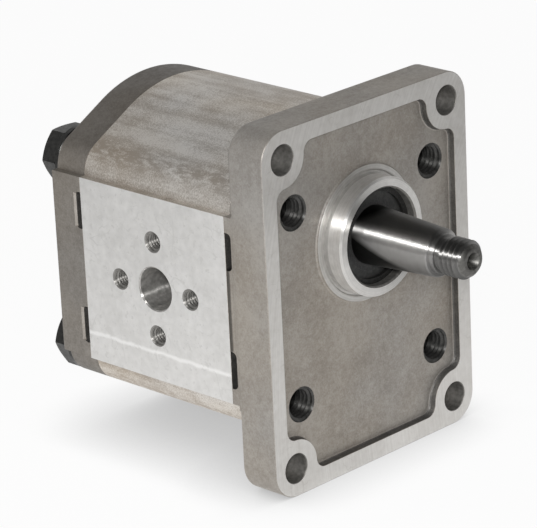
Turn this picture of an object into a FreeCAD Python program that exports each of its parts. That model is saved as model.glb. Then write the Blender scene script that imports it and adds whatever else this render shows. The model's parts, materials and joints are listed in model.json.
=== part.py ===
import FreeCAD, Part
import math
import os
import re
import Sketcher
from FreeCAD import Placement, Rotation, Vector

# Hydraulic gear motor with a rectangular four-hole flange and a 1:8 tapered shaft, in millimetres.
# The origin is where the drive shaft's axis meets the mounting face. +Y runs into the motor, so the
# shaft points to -Y, +Z is up and the driven gear lies below the drive gear.

SIZES = (
    ("centre_distance", 31.2, "between the drive and the driven shaft"),
    ("plate_side", 8.75, "mounting plate, outside the mounting holes, at the sides"),
    ("plate_end", 8.9, "mounting plate, outside the mounting holes, top and bottom"),
    ("plate_thickness", 13.9, "mounting plate, from the mounting face"),
    ("plate_corner", 9.0, "radius of the plate's outer corners"),
    ("plate_edge", 1.2, "fillet round the plate's back"),
    ("rim_width", 5.7, "machined rim round the recess"),
    ("recess_depth", 2.3, "cast recess inside the rim"),
    ("boss_radius", 9.0, "machined pads round the mounting holes"),
    ("boss_fillet", 3.5, "where a pad runs into the rim"),
    ("mount_pitch_x", 71.5, "mounting holes, across"),
    ("mount_pitch_z", 96.2, "mounting holes, up"),
    ("mount_hole", 9.2, "diameter"),
    ("neck_length", 3.8, "stretch of the flange with the housing's outline"),
    ("pilot_diameter", 36.5, "spigot that centres the motor"),
    ("pilot_height", 5.0, "out of the mounting face"),
    ("pilot_chamfer", 0.6, "on the spigot's front edge"),
    ("pilot_ring", 42.0, "diameter of the turned ring at the spigot's foot"),
    ("pilot_ring_rise", 0.9, "out of the recess"),
    ("pilot_groove_width", 1.1, "relief between the spigot and the ring"),
    ("pilot_groove_depth", 0.5, "below the ring's top"),
    ("pilot_undercut", 0.2, "into the spigot's foot, so that a sharp bore seats"),
    ("dome_radius", 44.7, "housing, top and bottom"),
    ("body_height", 102.6, "housing, over the two domes"),
    ("waist_width", 81.6, "housing, across its bolt corners"),
    ("corner_radius", 10.1, "housing, round the bolts"),
    ("port_face_width", 86.6, "housing, between the two port faces"),
    ("port_face_height", 58.8, "port face"),
    ("body_length", 61.5, "gear housing"),
    ("cover_thickness", 12.8, "rear cover"),
    ("cover_edge", 1.0, "chamfer round the rear cover's back"),
    ("slot_low", 12.7, "pry slots in both covers, nearest to the middle"),
    ("slot_height", 11.8, "pry slots"),
    ("slot_width", 2.5, "pry slots, along the motor"),
    ("slot_reach", 5.5, "pry slots, in from the port face"),
    ("slot_round", 1.6, "pry slots, at the two corners away from the housing"),
    ("bolt_pitch", 60.0, "through bolts, both ways"),
    ("bolt_diameter", 10.0, "through bolts"),
    ("bolt_length", 85.0, "through bolts, under the head"),
    ("bolt_play", 0.4, "radial, in the housing and the rear cover"),
    ("bolt_head_width", 17.0, "across flats"),
    ("bolt_head_height", 6.4, "through bolts"),
    ("washer_diameter", 19.6, "under each bolt head"),
    ("washer_thickness", 2.0, "under each bolt head"),
    ("thread_play", 0.05, "radial, a bolt in its tapped hole"),
    ("tap_chamfer", 0.5, "at the mouth of each tapped hole"),
    ("port_diameter", 13.5, "both ports"),
    ("port_depth", 25.8, "both ports, from the port face"),
    ("port_passage", 12.0, "from each port's end into the gear chamber"),
    ("port_screw_circle", 30.0, "four tapped holes round each port"),
    ("port_screw", 6.0, "tapped holes round each port"),
    ("port_screw_depth", 13.0, "tapped holes round each port"),
    ("gear_module", 2.6, "both gears"),
    ("gear_teeth", 12, "both gears"),
    ("pressure_angle", 20.0, "both gears"),
    ("gear_tip", 36.0, "diameter over the teeth"),
    ("gear_root", 25.6, "diameter between the teeth"),
    ("gear_width", 21.4, "both gears"),
    ("flank_play", 0.15, "backlash on the pitch circle"),
    ("tip_play", 0.08, "radial, teeth in the housing"),
    ("side_play", 0.05, "a gear and each bearing block"),
    ("block_play", 0.04, "radial, bearing blocks in the housing"),
    ("journal_diameter", 18.0, "both shafts"),
    ("journal_play", 0.03, "radial, in the bushes"),
    ("journal_chamfer", 0.8, "at the shafts' inner ends"),
    ("journal_overrun", 1.0, "past the bearing blocks"),
    ("bush_wall", 1.5, "plain bearing bushes"),
    ("relief_length", 10.0, "trapped-oil pockets beside the mesh"),
    ("relief_gap", 5.0, "land left between the two pockets"),
    ("relief_depth", 1.0, "trapped-oil pockets"),
    ("chamber_diameter", 20.4, "room round the shafts' ends"),
    ("chamber_depth", 2.0, "room round the shafts' ends"),
    ("drain_slot", 6.0, "width of the leak passage between the chambers"),
    ("balance_radius", 14.2, "middle of the pressure balance groove"),
    ("balance_waist", 8.6, "centre of the groove's waist bends, from the middle"),
    ("balance_groove", 2.8, "width"),
    ("balance_depth", 1.8, "depth"),
    ("balance_seal", 1.8, "width of the rubber part of the balance seal"),
    ("body_seal_radius", 20.6, "middle of the joint seals"),
    ("body_seal_width", 2.0, "joint seals"),
    ("body_seal_depth", 1.5, "joint seals"),
    ("fit_gap", 0.02, "between pieces that seat in each other"),
    ("dowel_diameter", 5.0, "locating pins"),
    ("dowel_length", 10.0, "locating pins, half in each piece"),
    ("dowel_x", 33.5, "locating pins, from the middle"),
    ("dowel_z", 8.0, "locating pins, from the middle"),
    ("seal_bore", 30.0, "for the shaft seal, in the spigot"),
    ("seal_bore_chamfer", 0.5, "at the spigot's mouth"),
    ("seal_width", 7.0, "shaft seal"),
    ("seal_case_wall", 1.1, "shaft seal"),
    ("seal_web_bore", 22.0, "diameter of the hole in the seal case's web"),
    ("lip_play", 0.03, "radial, the seal lips on the shaft"),
    ("spring_wire", 1.2, "garter spring round the seal lip"),
    ("ring_recess", 3.0, "from the spigot's face to the retaining ring"),
    ("ring_thickness", 1.2, "retaining ring"),
    ("ring_groove", 31.6, "diameter of its groove"),
    ("ring_band", 2.4, "radial width of the retaining ring"),
    ("ring_lug", 1.9, "radius of the retaining ring's two ears"),
    ("ring_eye", 0.9, "radius of the plier holes"),
    ("ring_lug_circle", 12.5, "radius on which the ears lie"),
    ("ring_lug_angle", 14.0, "from the gap's middle to each ear"),
    ("ring_gap", 2.4, "width of the gap between the ears"),
    ("ring_turn", 117.0, "degrees that the ears are turned from the bottom towards -X"),
    ("shaft_reach", 40.4, "shaft end, from the mounting face"),
    ("thread_diameter", 12.0, "shaft nut's thread"),
    ("thread_chamfer", 2.0, "at the shaft's end"),
    ("undercut_reach", 31.3, "start of the relief behind the thread"),
    ("undercut_diameter", 9.8, "relief behind the thread"),
    ("collar_reach", 29.8, "front of the collar"),
    ("taper_reach", 28.4, "small end of the taper"),
    ("taper_diameter", 14.6, "small end of the taper"),
    ("taper_edge", 0.3, "chamfer at the small end"),
    ("taper_ratio", 8.0, "length over which the diameter grows by one"),
    ("centre_cone", 5.3, "centre hole's mouth"),
    ("centre_drill", 2.0, "centre hole's pilot drill"),
    ("centre_depth", 5.0, "centre hole"),
    ("oil_bore", 6.0, "hole along the driven shaft"),
    ("key_width", 4.0, "half-moon key"),
    ("key_height", 5.0, "half-moon key"),
    ("key_disc", 13.0, "diameter of the disc that the key is cut from"),
    ("key_seat", 3.8, "depth of the key's seat"),
    ("key_station", 19.0, "middle of the key, from the mounting face"),
    ("drain_port", 13.2, "tapped hole for the case drain"),
    ("drain_depth", 9.0, "tapped hole for the case drain"),
    ("drain_passage", 5.0, "from the drain port to the leak passage"),
    ("drain_spotface", 21.0, "diameter of the drain port's seat"),
    ("drain_seat_depth", 0.5, "drain port's seat"),
)
SIZE_NAMES = {name for name, amount, note in SIZES}

TURN = 2 * math.pi
UP = Vector(0, 0, 1)

doc = FreeCAD.newDocument("gear_motor")
sheet = doc.addObject("Spreadsheet::Sheet", "Sizes")
for row, (name, amount, note) in enumerate(SIZES, start=1):
    sheet.set(f"A{row}", name)
    sheet.set(f"B{row}", str(amount))
    sheet.setAlias(f"B{row}", name)
    sheet.set(f"C{row}", note)
doc.recompute()


# Helpers that read the sheet and bind sizes to it

def number(formula):
    """The value of a formula that is written with the sheet's names."""
    return float(sheet.evalExpression(formula))


def bound(formula):
    """The same formula with each name pointing at the sheet, for setExpression."""
    def led(word):
        return f"Sizes.{word.group()}" if word.group() in SIZE_NAMES else word.group()
    return re.sub(r"[a-z][a-z_]*", led, formula)


def settle(feature, before=None):
    """Recomputes, and stops if the feature failed or left the solid as it was."""
    doc.recompute()
    if "Invalid" in feature.State or "Error" in feature.State:
        raise RuntimeError(f"{feature.Name} failed")
    if before is not None and abs(feature.Shape.Volume - before) < 1e-6:
        raise RuntimeError(f"{feature.Name} changed nothing")
    return feature


def new_body(name):
    """An empty body whose label names its file."""
    body = doc.addObject("PartDesign::Body", name)
    body.Label = name
    return body


def new_sketch(body, plane, height="0"):
    """A sketch on one of the body's own origin planes, moved along the plane's normal."""
    sketch = body.newObject("Sketcher::SketchObject", body.Name + "_sketch")
    origin_plane = [item for item in body.Origin.OriginFeatures if item.Role == plane + "_Plane"][0]
    sketch.AttachmentSupport = (origin_plane, [""])
    sketch.MapMode = "FlatFace"
    if height != "0":
        sketch.setExpression("AttachmentOffset.Base.z", bound(height))
    return sketch


def face_sketch(body, station="0"):
    """A sketch across the motor at a station along +Y: its x is X and its y is Z."""
    return new_sketch(body, "XZ", "0" if station == "0" else f"-({station})")


def size_constraint(sketch, formula, *kind):
    """Adds a constraint whose value follows the sheet."""
    index = sketch.addConstraint(Sketcher.Constraint(*kind, number(formula)))
    sketch.setExpression(f"Constraints[{index}]", bound(formula))


def hold(sketch, piece, point, across, up):
    """Holds a point of a sketch at two formulas; the text 0 puts it on the axis itself."""
    for kind, formula, axis in (("DistanceX", across, -2), ("DistanceY", up, -1)):
        if formula == "0":
            sketch.addConstraint(Sketcher.Constraint("PointOnObject", piece, point, axis))
        else:
            size_constraint(sketch, formula, kind, -1, 1, piece, point)


def circle(sketch, across, up, radius):
    """A circle with its centre and radius tied to the sheet."""
    middle = Vector(number(across), number(up), 0)
    piece = sketch.addGeometry(Part.Circle(middle, UP, number(radius)), False)
    hold(sketch, piece, 3, across, up)
    size_constraint(sketch, radius, "Radius", piece)
    return piece


def polygon(sketch, corners):
    """A closed outline of straight lines, each corner tied to the sheet."""
    points = [Vector(number(across), number(up), 0) for across, up in corners]
    lines = []
    for start, end in zip(points, points[1:] + points[:1]):
        lines.append(sketch.addGeometry(Part.LineSegment(start, end), False))
    for line, (across, up) in zip(lines, corners):
        hold(sketch, line, 1, across, up)
    for line, following in zip(lines, lines[1:] + lines[:1]):
        sketch.addConstraint(Sketcher.Constraint("Coincident", line, 2, following, 1))
    return lines


def arc(middle, start, end):
    """An arc about its middle, anticlockwise from one point to the other."""
    first = math.atan2(start.y - middle.y, start.x - middle.x)
    last = math.atan2(end.y - middle.y, end.x - middle.x)
    if last <= first:
        last += TURN
    return Part.ArcOfCircle(Part.Circle(middle, UP, (start - middle).Length), first, last)


def polar(middle, radius, angle):
    """The point at an angle in degrees on a circle."""
    turn = math.radians(angle)
    return middle + Vector(radius * math.cos(turn), radius * math.sin(turn), 0)


def chain(sketch, links):
    """Adds lines and arcs end to end. Each link is (curve, runs forward, joins smoothly)."""
    pieces = [sketch.addGeometry(curve, False) for curve, forward, smooth in links]
    count = len(links)
    for index in range(count):
        following = (index + 1) % count
        leave = 2 if links[index][1] else 1
        enter = 1 if links[following][1] else 2
        kind = "Tangent" if links[index][2] else "Coincident"
        sketch.addConstraint(Sketcher.Constraint(kind, pieces[index], leave, pieces[following], enter))
    return pieces


def pad(body, sketch, length, back=False, both=False):
    """Adds material from a sketch across the motor, towards +Y unless back is set."""
    feature = body.newObject("PartDesign::Pad", body.Name + "_pad")
    feature.Profile = sketch
    feature.setExpression("Length", bound(length))
    feature.Reversed = not back
    if both:
        feature.SideType = "Symmetric"
        feature.Reversed = False
    return settle(feature)


def pocket(body, sketch, length, back=False, both=False, narrowing=0):
    """Cuts a sketch into the body, towards +Y on a face sketch unless back is set.

    narrowing is the slope of the cut's walls in degrees, so 45 makes a countersink."""
    before = body.Shape.Volume
    feature = body.newObject("PartDesign::Pocket", body.Name + "_pocket")
    feature.Profile = sketch
    feature.setExpression("Length", bound(length))
    feature.Reversed = back
    feature.TaperAngle = -narrowing
    if both:
        feature.SideType = "Symmetric"
    return settle(feature, before)


def turned(body, corners, axis_height="0", cut=False):
    """A half section of (radius, station) corners turned about the Y axis, added or cut."""
    before = body.Shape.Volume if cut else None
    sketch = new_sketch(body, "XY", axis_height)
    polygon(sketch, corners)
    kind = "Groove" if cut else "Revolution"
    feature = body.newObject("PartDesign::" + kind, body.Name + "_" + kind.lower())
    feature.Profile = sketch
    feature.ReferenceAxis = (sketch, ["V_Axis"])
    feature.Angle = 360
    return settle(feature, before)


def edges_where(feature, test):
    """Names of the feature's edges that pass a test."""
    return [f"Edge{index}" for index, edge in enumerate(feature.Shape.Edges, start=1) if test(edge)]


def dress(body, kind, test, size):
    """A fillet or a chamfer on every edge that passes a test."""
    base = body.Tip
    names = edges_where(base, test)
    if not names:
        raise RuntimeError(f"no edge to {kind} on {body.Name}")
    feature = body.newObject("PartDesign::" + kind, body.Name + "_" + kind.lower())
    feature.Base = (base, names)
    feature.setExpression("Radius" if kind == "Fillet" else "Size", bound(size))
    return settle(feature, base.Shape.Volume)


def round_edge_at(station, radius):
    """Test for a full circle of this radius whose plane lies at this station along Y."""
    def test(edge):
        return (isinstance(edge.Curve, Part.Circle)
                and abs(edge.Curve.Radius - number(radius)) < 1e-4
                and abs(edge.Curve.Center.y - number(station)) < 1e-4
                and abs(abs(edge.Curve.Axis.y) - 1) < 1e-6)
    return test


def place(body, along="0", up="0"):
    """Ties the body's place along Y and Z to the sheet."""
    if along != "0":
        body.setExpression("Placement.Base.y", bound(along))
    if up != "0":
        body.setExpression("Placement.Base.z", bound(up))


# Stations along the motor that several pieces share
DEPTH = {
    "housing": "(plate_thickness + neck_length)",
    "block": "((body_length - gear_width) / 2 - side_play)",
}
DEPTH["gear"] = f"({DEPTH['housing']} + {DEPTH['block']} + side_play)"
DEPTH["cover"] = f"({DEPTH['housing']} + body_length)"
PLATE_WIDTH = "(mount_pitch_x + 2 * plate_side)"
PLATE_HEIGHT = "(mount_pitch_z + 2 * plate_end)"
MIDDLE_HEIGHT = "-centre_distance / 2"
HALF_CENTRES = "centre_distance / 2"
QUARTERS = ((1, 1), (-1, 1), (-1, -1), (1, -1))


def signed(sign, formula):
    """A formula with its sign."""
    return formula if sign > 0 else f"-({formula})"


# Outlines that several pieces share

def housing_outline(sketch):
    """Two domes, four bolt corners and two raised port faces, about the middle of the motor."""
    waist = number("waist_width / 2")
    face = number("port_face_width / 2")
    ledge = number("port_face_height / 2")
    corner = number("corner_radius")
    dome = number("dome_radius")
    lift = number("body_height / 2 - dome_radius")
    middle = Vector(waist - corner, ledge - lift, 0)
    slope = math.degrees(math.atan2(middle.y, middle.x) + math.acos((dome - corner) / middle.Length))

    def corner_arc(side, end, first, last):
        centre = Vector(side * (waist - corner), end * ledge, 0)
        return arc(centre, polar(centre, corner, first), polar(centre, corner, last))

    def dome_arc(end, first, last):
        centre = Vector(0, end * lift, 0)
        return arc(centre, polar(centre, dome, first), polar(centre, dome, last))

    curves = [
        corner_arc(1, 1, 0, slope),
        dome_arc(1, slope, 180 - slope),
        corner_arc(-1, 1, 180 - slope, 180),
        corner_arc(-1, -1, 180, 180 + slope),
        dome_arc(-1, 180 + slope, -slope),
        corner_arc(1, -1, -slope, 0),
    ]
    links = []
    for start, following in zip(curves[:2] + curves[3:5], curves[1:3] + curves[4:6]):
        links.append((start, True, True))
        links.append((Part.LineSegment(start.EndPoint, following.StartPoint), True, True))
        if following in (curves[2], curves[5]):
            side = -1 if following is curves[2] else 1
            links.append((following, True, False))
            for first, last in (((waist, -side), (face, -side)), ((face, -side), (face, side)),
                                ((face, side), (waist, side))):
                start_point = Vector(side * first[0], first[1] * ledge, 0)
                end_point = Vector(side * last[0], last[1] * ledge, 0)
                links.append((Part.LineSegment(start_point, end_point), True, False))
    pieces = chain(sketch, links)
    arcs = [piece for piece, link in zip(pieces, links) if isinstance(link[0], Part.ArcOfCircle)]
    places = ((1, 1), (0, 1), (-1, 1), (-1, -1), (0, -1), (1, -1))
    for piece, (side, end) in zip(arcs, places):
        if side == 0:
            hold(sketch, piece, 3, "0", signed(end, "body_height / 2 - dome_radius"))
            size_constraint(sketch, "dome_radius", "Radius", piece)
        else:
            hold(sketch, piece, 3, signed(side, "waist_width / 2 - corner_radius"),
                 signed(end, "port_face_height / 2"))
            size_constraint(sketch, "corner_radius", "Radius", piece)
    for first, side in ((5, -1), (13, 1)):
        hold(sketch, pieces[first + 1], 1, signed(side, "port_face_width / 2"),
             signed(-side, "port_face_height / 2"))
        hold(sketch, pieces[first + 1], 2, signed(side, "port_face_width / 2"),
             signed(side, "port_face_height / 2"))
        sketch.addConstraint(Sketcher.Constraint("Horizontal", pieces[first]))
        sketch.addConstraint(Sketcher.Constraint("Horizontal", pieces[first + 2]))


def rounded_rectangle(sketch, width, height, radius):
    """A rectangle with round corners about the sketch's origin."""
    across = number(f"({width}) / 2 - ({radius})")
    up = number(f"({height}) / 2 - ({radius})")
    links = []
    centres = [Vector(side * across, end * up, 0) for side, end in QUARTERS]
    for index, centre in enumerate(centres):
        following = centres[(index + 1) % 4]
        leave = polar(centre, number(radius), 90 * (index + 1))
        links.append((arc(centre, polar(centre, number(radius), 90 * index), leave), True, True))
        enter = polar(following, number(radius), 90 * (index + 1))
        links.append((Part.LineSegment(leave, enter), True, True))
    pieces = chain(sketch, links)
    for piece, (side, end) in zip(pieces[::2], QUARTERS):
        hold(sketch, piece, 3, signed(side, f"({width}) / 2 - ({radius})"),
             signed(end, f"({height}) / 2 - ({radius})"))
        size_constraint(sketch, radius, "Radius", piece)


def recess_outline(sketch):
    """The recess inside the rim, bending round a machined pad at each mounting hole."""
    side_wall = number(f"{PLATE_WIDTH} / 2 - rim_width")
    end_wall = number(f"{PLATE_HEIGHT} / 2 - rim_width")
    pad_x = number("mount_pitch_x / 2")
    pad_z = number("mount_pitch_z / 2")
    pad_radius = number("boss_radius")
    fillet = number("boss_fillet")
    reach = pad_radius + fillet
    near_side = Vector(side_wall - fillet,
                       pad_z - math.sqrt(reach ** 2 - (side_wall - fillet - pad_x) ** 2), 0)
    near_end = Vector(pad_x - math.sqrt(reach ** 2 - (end_wall - fillet - pad_z) ** 2),
                      end_wall - fillet, 0)
    links = []
    kinds = []
    for side, end in QUARTERS:
        centre = Vector(side * pad_x, end * pad_z, 0)
        bends = []
        for bend, wall in ((near_side, Vector(1, 0, 0)), (near_end, Vector(0, 1, 0))):
            middle = Vector(side * bend.x, end * bend.y, 0)
            on_wall = middle + Vector(side * wall.x, end * wall.y, 0) * fillet
            on_pad = middle + (centre - middle) * (fillet / reach)
            bends.append((middle, on_wall, on_pad))
        if side * end < 0:
            bends.reverse()
        (first, wall_in, pad_in), (last, wall_out, pad_out) = bends
        links.append((arc(first, wall_in, pad_in), True, True))
        links.append((arc(centre, pad_out, pad_in), False, True))
        links.append((arc(last, pad_out, wall_out), True, True))
        kinds.append((side, end))
    straight = []
    for index in range(4):
        start = links[3 * index + 2][0].EndPoint
        end = links[(3 * index + 3) % 12][0].StartPoint
        straight.append((Part.LineSegment(start, end), True, True))
    ordered = []
    for index in range(4):
        ordered += links[3 * index:3 * index + 3] + [straight[index]]
    pieces = chain(sketch, ordered)
    for index, (side, end) in enumerate(kinds):
        first, pad_arc, last, line = pieces[4 * index:4 * index + 4]
        hold(sketch, pad_arc, 3, signed(side, "mount_pitch_x / 2"), signed(end, "mount_pitch_z / 2"))
        size_constraint(sketch, "boss_radius", "Radius", pad_arc)
        size_constraint(sketch, "boss_fillet", "Radius", first)
        size_constraint(sketch, "boss_fillet", "Radius", last)
        level = index % 2 == 0
        sketch.addConstraint(Sketcher.Constraint("Horizontal" if level else "Vertical", line))
        if level:
            size_constraint(sketch, signed(end, f"{PLATE_HEIGHT} / 2 - rim_width"),
                            "DistanceY", -1, 1, line, 1)
        else:
            size_constraint(sketch, signed(side, f"{PLATE_WIDTH} / 2 - rim_width"),
                            "DistanceX", -1, 1, line, 1)


def figure_eight(sketch, radius):
    """The outline of two overlapping circles, one about each shaft."""
    half = number(HALF_CENTRES)
    waist = Vector(math.sqrt(number(radius) ** 2 - half ** 2), 0, 0)
    upper = arc(Vector(0, half, 0), waist, -waist)
    lower = arc(Vector(0, -half, 0), -waist, waist)
    pieces = chain(sketch, [(upper, True, False), (lower, True, False)])
    for piece, end in zip(pieces, (1, -1)):
        hold(sketch, piece, 3, "0", signed(end, HALF_CENTRES))
        size_constraint(sketch, radius, "Radius", piece)


def racetrack(sketch, radius):
    """Two half circles, one about each shaft, joined by straight sides."""
    half = number(HALF_CENTRES)
    reach = Vector(number(radius), 0, 0)
    top = Vector(0, half, 0)
    upper = arc(top, top + reach, top - reach)
    lower = arc(-top, -top - reach, -top + reach)
    links = [(upper, True, True), (Part.LineSegment(upper.EndPoint, lower.StartPoint), True, True),
             (lower, True, True), (Part.LineSegment(lower.EndPoint, upper.StartPoint), True, True)]
    pieces = chain(sketch, links)
    for piece, end in zip(pieces[::2], (1, -1)):
        hold(sketch, piece, 3, "0", signed(end, HALF_CENTRES))
        size_constraint(sketch, radius, "Radius", piece)


def peanut(sketch, radius):
    """A loop round both shafts that bends in at the waist, about fixed bend centres."""
    half = number(HALF_CENTRES)
    outer = number(radius)
    bend = Vector(number("balance_waist"), 0, 0)
    top = Vector(0, half, 0)
    touch = top + (bend - top) * (outer / (bend - top).Length)
    mirrored = Vector(-touch.x, touch.y, 0)
    below = Vector(touch.x, -touch.y, 0)
    links = [(arc(top, touch, mirrored), True, True), (arc(-bend, -touch, mirrored), False, True),
             (arc(-top, -touch, below), True, True), (arc(bend, touch, below), False, True)]
    pieces = chain(sketch, links)
    for piece, end in zip(pieces[::2], (1, -1)):
        hold(sketch, piece, 3, "0", signed(end, HALF_CENTRES))
        size_constraint(sketch, radius, "Radius", piece)
    for piece, side in zip(pieces[1::2], (-1, 1)):
        size_constraint(sketch, signed(side, "balance_waist"), "DistanceX", -1, 1, piece, 3)


# Cuts that several pieces share

def four_circles(sketch, pitch_x, pitch_z, radius):
    """Four equal circles on a rectangle."""
    for side, end in QUARTERS:
        circle(sketch, signed(side, f"{pitch_x} / 2"), signed(end, f"{pitch_z} / 2"), radius)


def cut_dowel_holes(body, station="0", back=False):
    """Two holes on a diagonal, each as deep as half a pin and a little more."""
    sketch = face_sketch(body, station)
    for side in (1, -1):
        circle(sketch, signed(side, "dowel_x"), signed(-side, "dowel_z"), "dowel_diameter / 2 + fit_gap")
    pocket(body, sketch, "dowel_length / 2 + fit_gap", back)


def cut_seal_groove(body, outline, middle, width, depth, station="0", back=False):
    """A closed groove that follows an outline about both shafts."""
    sketch = face_sketch(body, station)
    outline(sketch, f"{middle} + {width} / 2")
    outline(sketch, f"{middle} - {width} / 2")
    pocket(body, sketch, depth, back)


def cut_leak_chambers(body, station="0", back=False, ends=(1, -1)):
    """Room round the shafts' ends and the leak passage that joins it."""
    for end in ends:
        sketch = face_sketch(body, station)
        circle(sketch, "0", signed(end, HALF_CENTRES), "chamber_diameter / 2")
        pocket(body, sketch, "chamber_depth", back)
    sketch = face_sketch(body, station)
    polygon(sketch, [(signed(side, "drain_slot / 2"), signed(end, HALF_CENTRES))
                     for side, end in QUARTERS])
    pocket(body, sketch, "chamber_depth", back)


def cut_pry_slots(body, near, far):
    """Four slots beside the joint, open to the port faces; near is the joint's own station."""
    for side, end in QUARTERS:
        sketch = new_sketch(body, "YZ", signed(side, "port_face_width / 2"))
        low = signed(end, "slot_low")
        high = signed(end, "slot_low + slot_height")
        polygon(sketch, [(near, low), (far, low), (far, high), (near, high)])
        pocket(body, sketch, "slot_reach", back=side < 0)

    def at_far_corner(edge):
        along_x = (isinstance(edge.Curve, Part.Line) and abs(abs(edge.Curve.Direction.x) - 1) < 1e-6
                   and abs(edge.Length - number("slot_reach")) < 1e-4)
        return along_x and abs(edge.Vertexes[0].Point.y - number(far)) < 1e-4

    dress(body, "Fillet", at_far_corner, "slot_round")


# The three casings

def make_front_flange():
    """Mounting plate with its rim, pads and spigot, and the neck that meets the housing."""
    body = new_body("front_flange")
    sketch = face_sketch(body)
    rounded_rectangle(sketch, PLATE_WIDTH, PLATE_HEIGHT, "plate_corner")
    pad(body, sketch, "plate_thickness")

    def on_back_outline(edge):
        centre = edge.BoundBox.Center
        return edge.BoundBox.YMin > number("plate_thickness") - 1e-4 and (
            abs(centre.x) > 1 or abs(centre.z) > 1)

    dress(body, "Fillet", on_back_outline, "plate_edge")
    sketch = face_sketch(body, "plate_thickness")
    housing_outline(sketch)
    pad(body, sketch, "neck_length")
    sketch = face_sketch(body)
    recess_outline(sketch)
    circle(sketch, "0", HALF_CENTRES, "pilot_ring / 2")
    pocket(body, sketch, "recess_depth")
    sketch = face_sketch(body, "-pilot_height")
    circle(sketch, "0", HALF_CENTRES, "pilot_diameter / 2")
    pad(body, sketch, "pilot_height + recess_depth")
    ring_top = "(recess_depth - pilot_ring_rise)"
    spigot = "pilot_diameter / 2"
    clear = "pilot_ring / 2 + plate_edge"
    floor = f"({ring_top} + pilot_groove_depth)"
    turned(body, [(clear, "-plate_edge"), (clear, ring_top),
                  (f"{spigot} + pilot_groove_width", ring_top),
                  (f"{spigot} + pilot_groove_width / 2", floor),
                  (f"{spigot} - pilot_undercut", floor),
                  (f"{spigot} - pilot_undercut", f"{ring_top} + pilot_undercut"),
                  (spigot, ring_top), (spigot, "-plate_edge")],
           HALF_CENTRES, cut=True)
    dress(body, "Chamfer", round_edge_at("-pilot_height", spigot), "pilot_chamfer")
    cut_shaft_bore(body)
    back = DEPTH["housing"]
    cut_leak_chambers(body, back, back=True, ends=(-1,))
    cut_seal_groove(body, racetrack, "body_seal_radius", "body_seal_width", "body_seal_depth", back, True)
    sketch = face_sketch(body)
    four_circles(sketch, "mount_pitch_x", "mount_pitch_z", "mount_hole / 2")
    pocket(body, sketch, "plate_thickness")
    sketch = face_sketch(body)
    four_circles(sketch, "bolt_pitch", "bolt_pitch", "bolt_diameter / 2 + thread_play")
    pocket(body, sketch, back)
    sketch = face_sketch(body, "recess_depth")
    four_circles(sketch, "bolt_pitch", "bolt_pitch", "bolt_diameter / 2 + thread_play + tap_chamfer")
    pocket(body, sketch, "tap_chamfer", narrowing=45)
    cut_dowel_holes(body, back, back=True)
    cut_pry_slots(body, back, f"{back} - slot_width")
    place(body, up=MIDDLE_HEIGHT)
    return body


def cut_shaft_bore(body):
    """The stepped bore for the retaining ring, the shaft seal and the shaft."""
    mouth = "-pilot_height"
    ring = f"({mouth} + ring_recess)"
    shoulder = f"({ring} + ring_thickness + seal_width + 2 * fit_gap)"
    bore = "seal_bore / 2"
    turned(body, [
        ("0", mouth),
        (f"{bore} + seal_bore_chamfer", mouth),
        (bore, f"{mouth} + seal_bore_chamfer"),
        (bore, ring),
        ("ring_groove / 2", ring),
        ("ring_groove / 2", f"{ring} + ring_thickness + fit_gap"),
        (bore, f"{ring} + ring_thickness + fit_gap"),
        (bore, shoulder),
        ("chamber_diameter / 2", shoulder),
        ("chamber_diameter / 2", DEPTH["housing"]),
        ("0", DEPTH["housing"]),
    ], HALF_CENTRES, cut=True)


def make_gear_housing():
    """Extruded housing with the figure-eight bore, two equal ports and their screw holes."""
    body = new_body("gear_housing")
    sketch = face_sketch(body)
    housing_outline(sketch)
    pad(body, sketch, "body_length")
    sketch = face_sketch(body)
    figure_eight(sketch, "gear_tip / 2 + tip_play")
    pocket(body, sketch, "body_length")
    sketch = new_sketch(body, "YZ")
    circle(sketch, "body_length / 2", "0", "port_passage / 2")
    pocket(body, sketch, "port_face_width", both=True)
    for side in (1, -1):
        sketch = new_sketch(body, "YZ", signed(side, "port_face_width / 2"))
        circle(sketch, "body_length / 2", "0", "port_diameter / 2")
        pocket(body, sketch, "port_depth", back=side < 0)
        sketch = new_sketch(body, "YZ", signed(side, "port_face_width / 2"))
        for end in (1, -1):
            turn = signed(end, "port_screw_circle / 2")
            circle(sketch, f"body_length / 2 + ({turn})", "0", "port_screw / 2")
            circle(sketch, "body_length / 2", turn, "port_screw / 2")
        pocket(body, sketch, "port_screw_depth", back=side < 0)

    def port_mouth(edge):
        return (isinstance(edge.Curve, Part.Circle)
                and abs(abs(edge.Curve.Center.x) - number("port_face_width / 2")) < 1e-4)

    dress(body, "Chamfer", port_mouth, "tap_chamfer")
    sketch = face_sketch(body)
    four_circles(sketch, "bolt_pitch", "bolt_pitch", "bolt_diameter / 2 + bolt_play")
    pocket(body, sketch, "body_length")
    cut_dowel_holes(body)
    cut_dowel_holes(body, "body_length", back=True)
    place(body, DEPTH["housing"], MIDDLE_HEIGHT)
    return body


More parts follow.
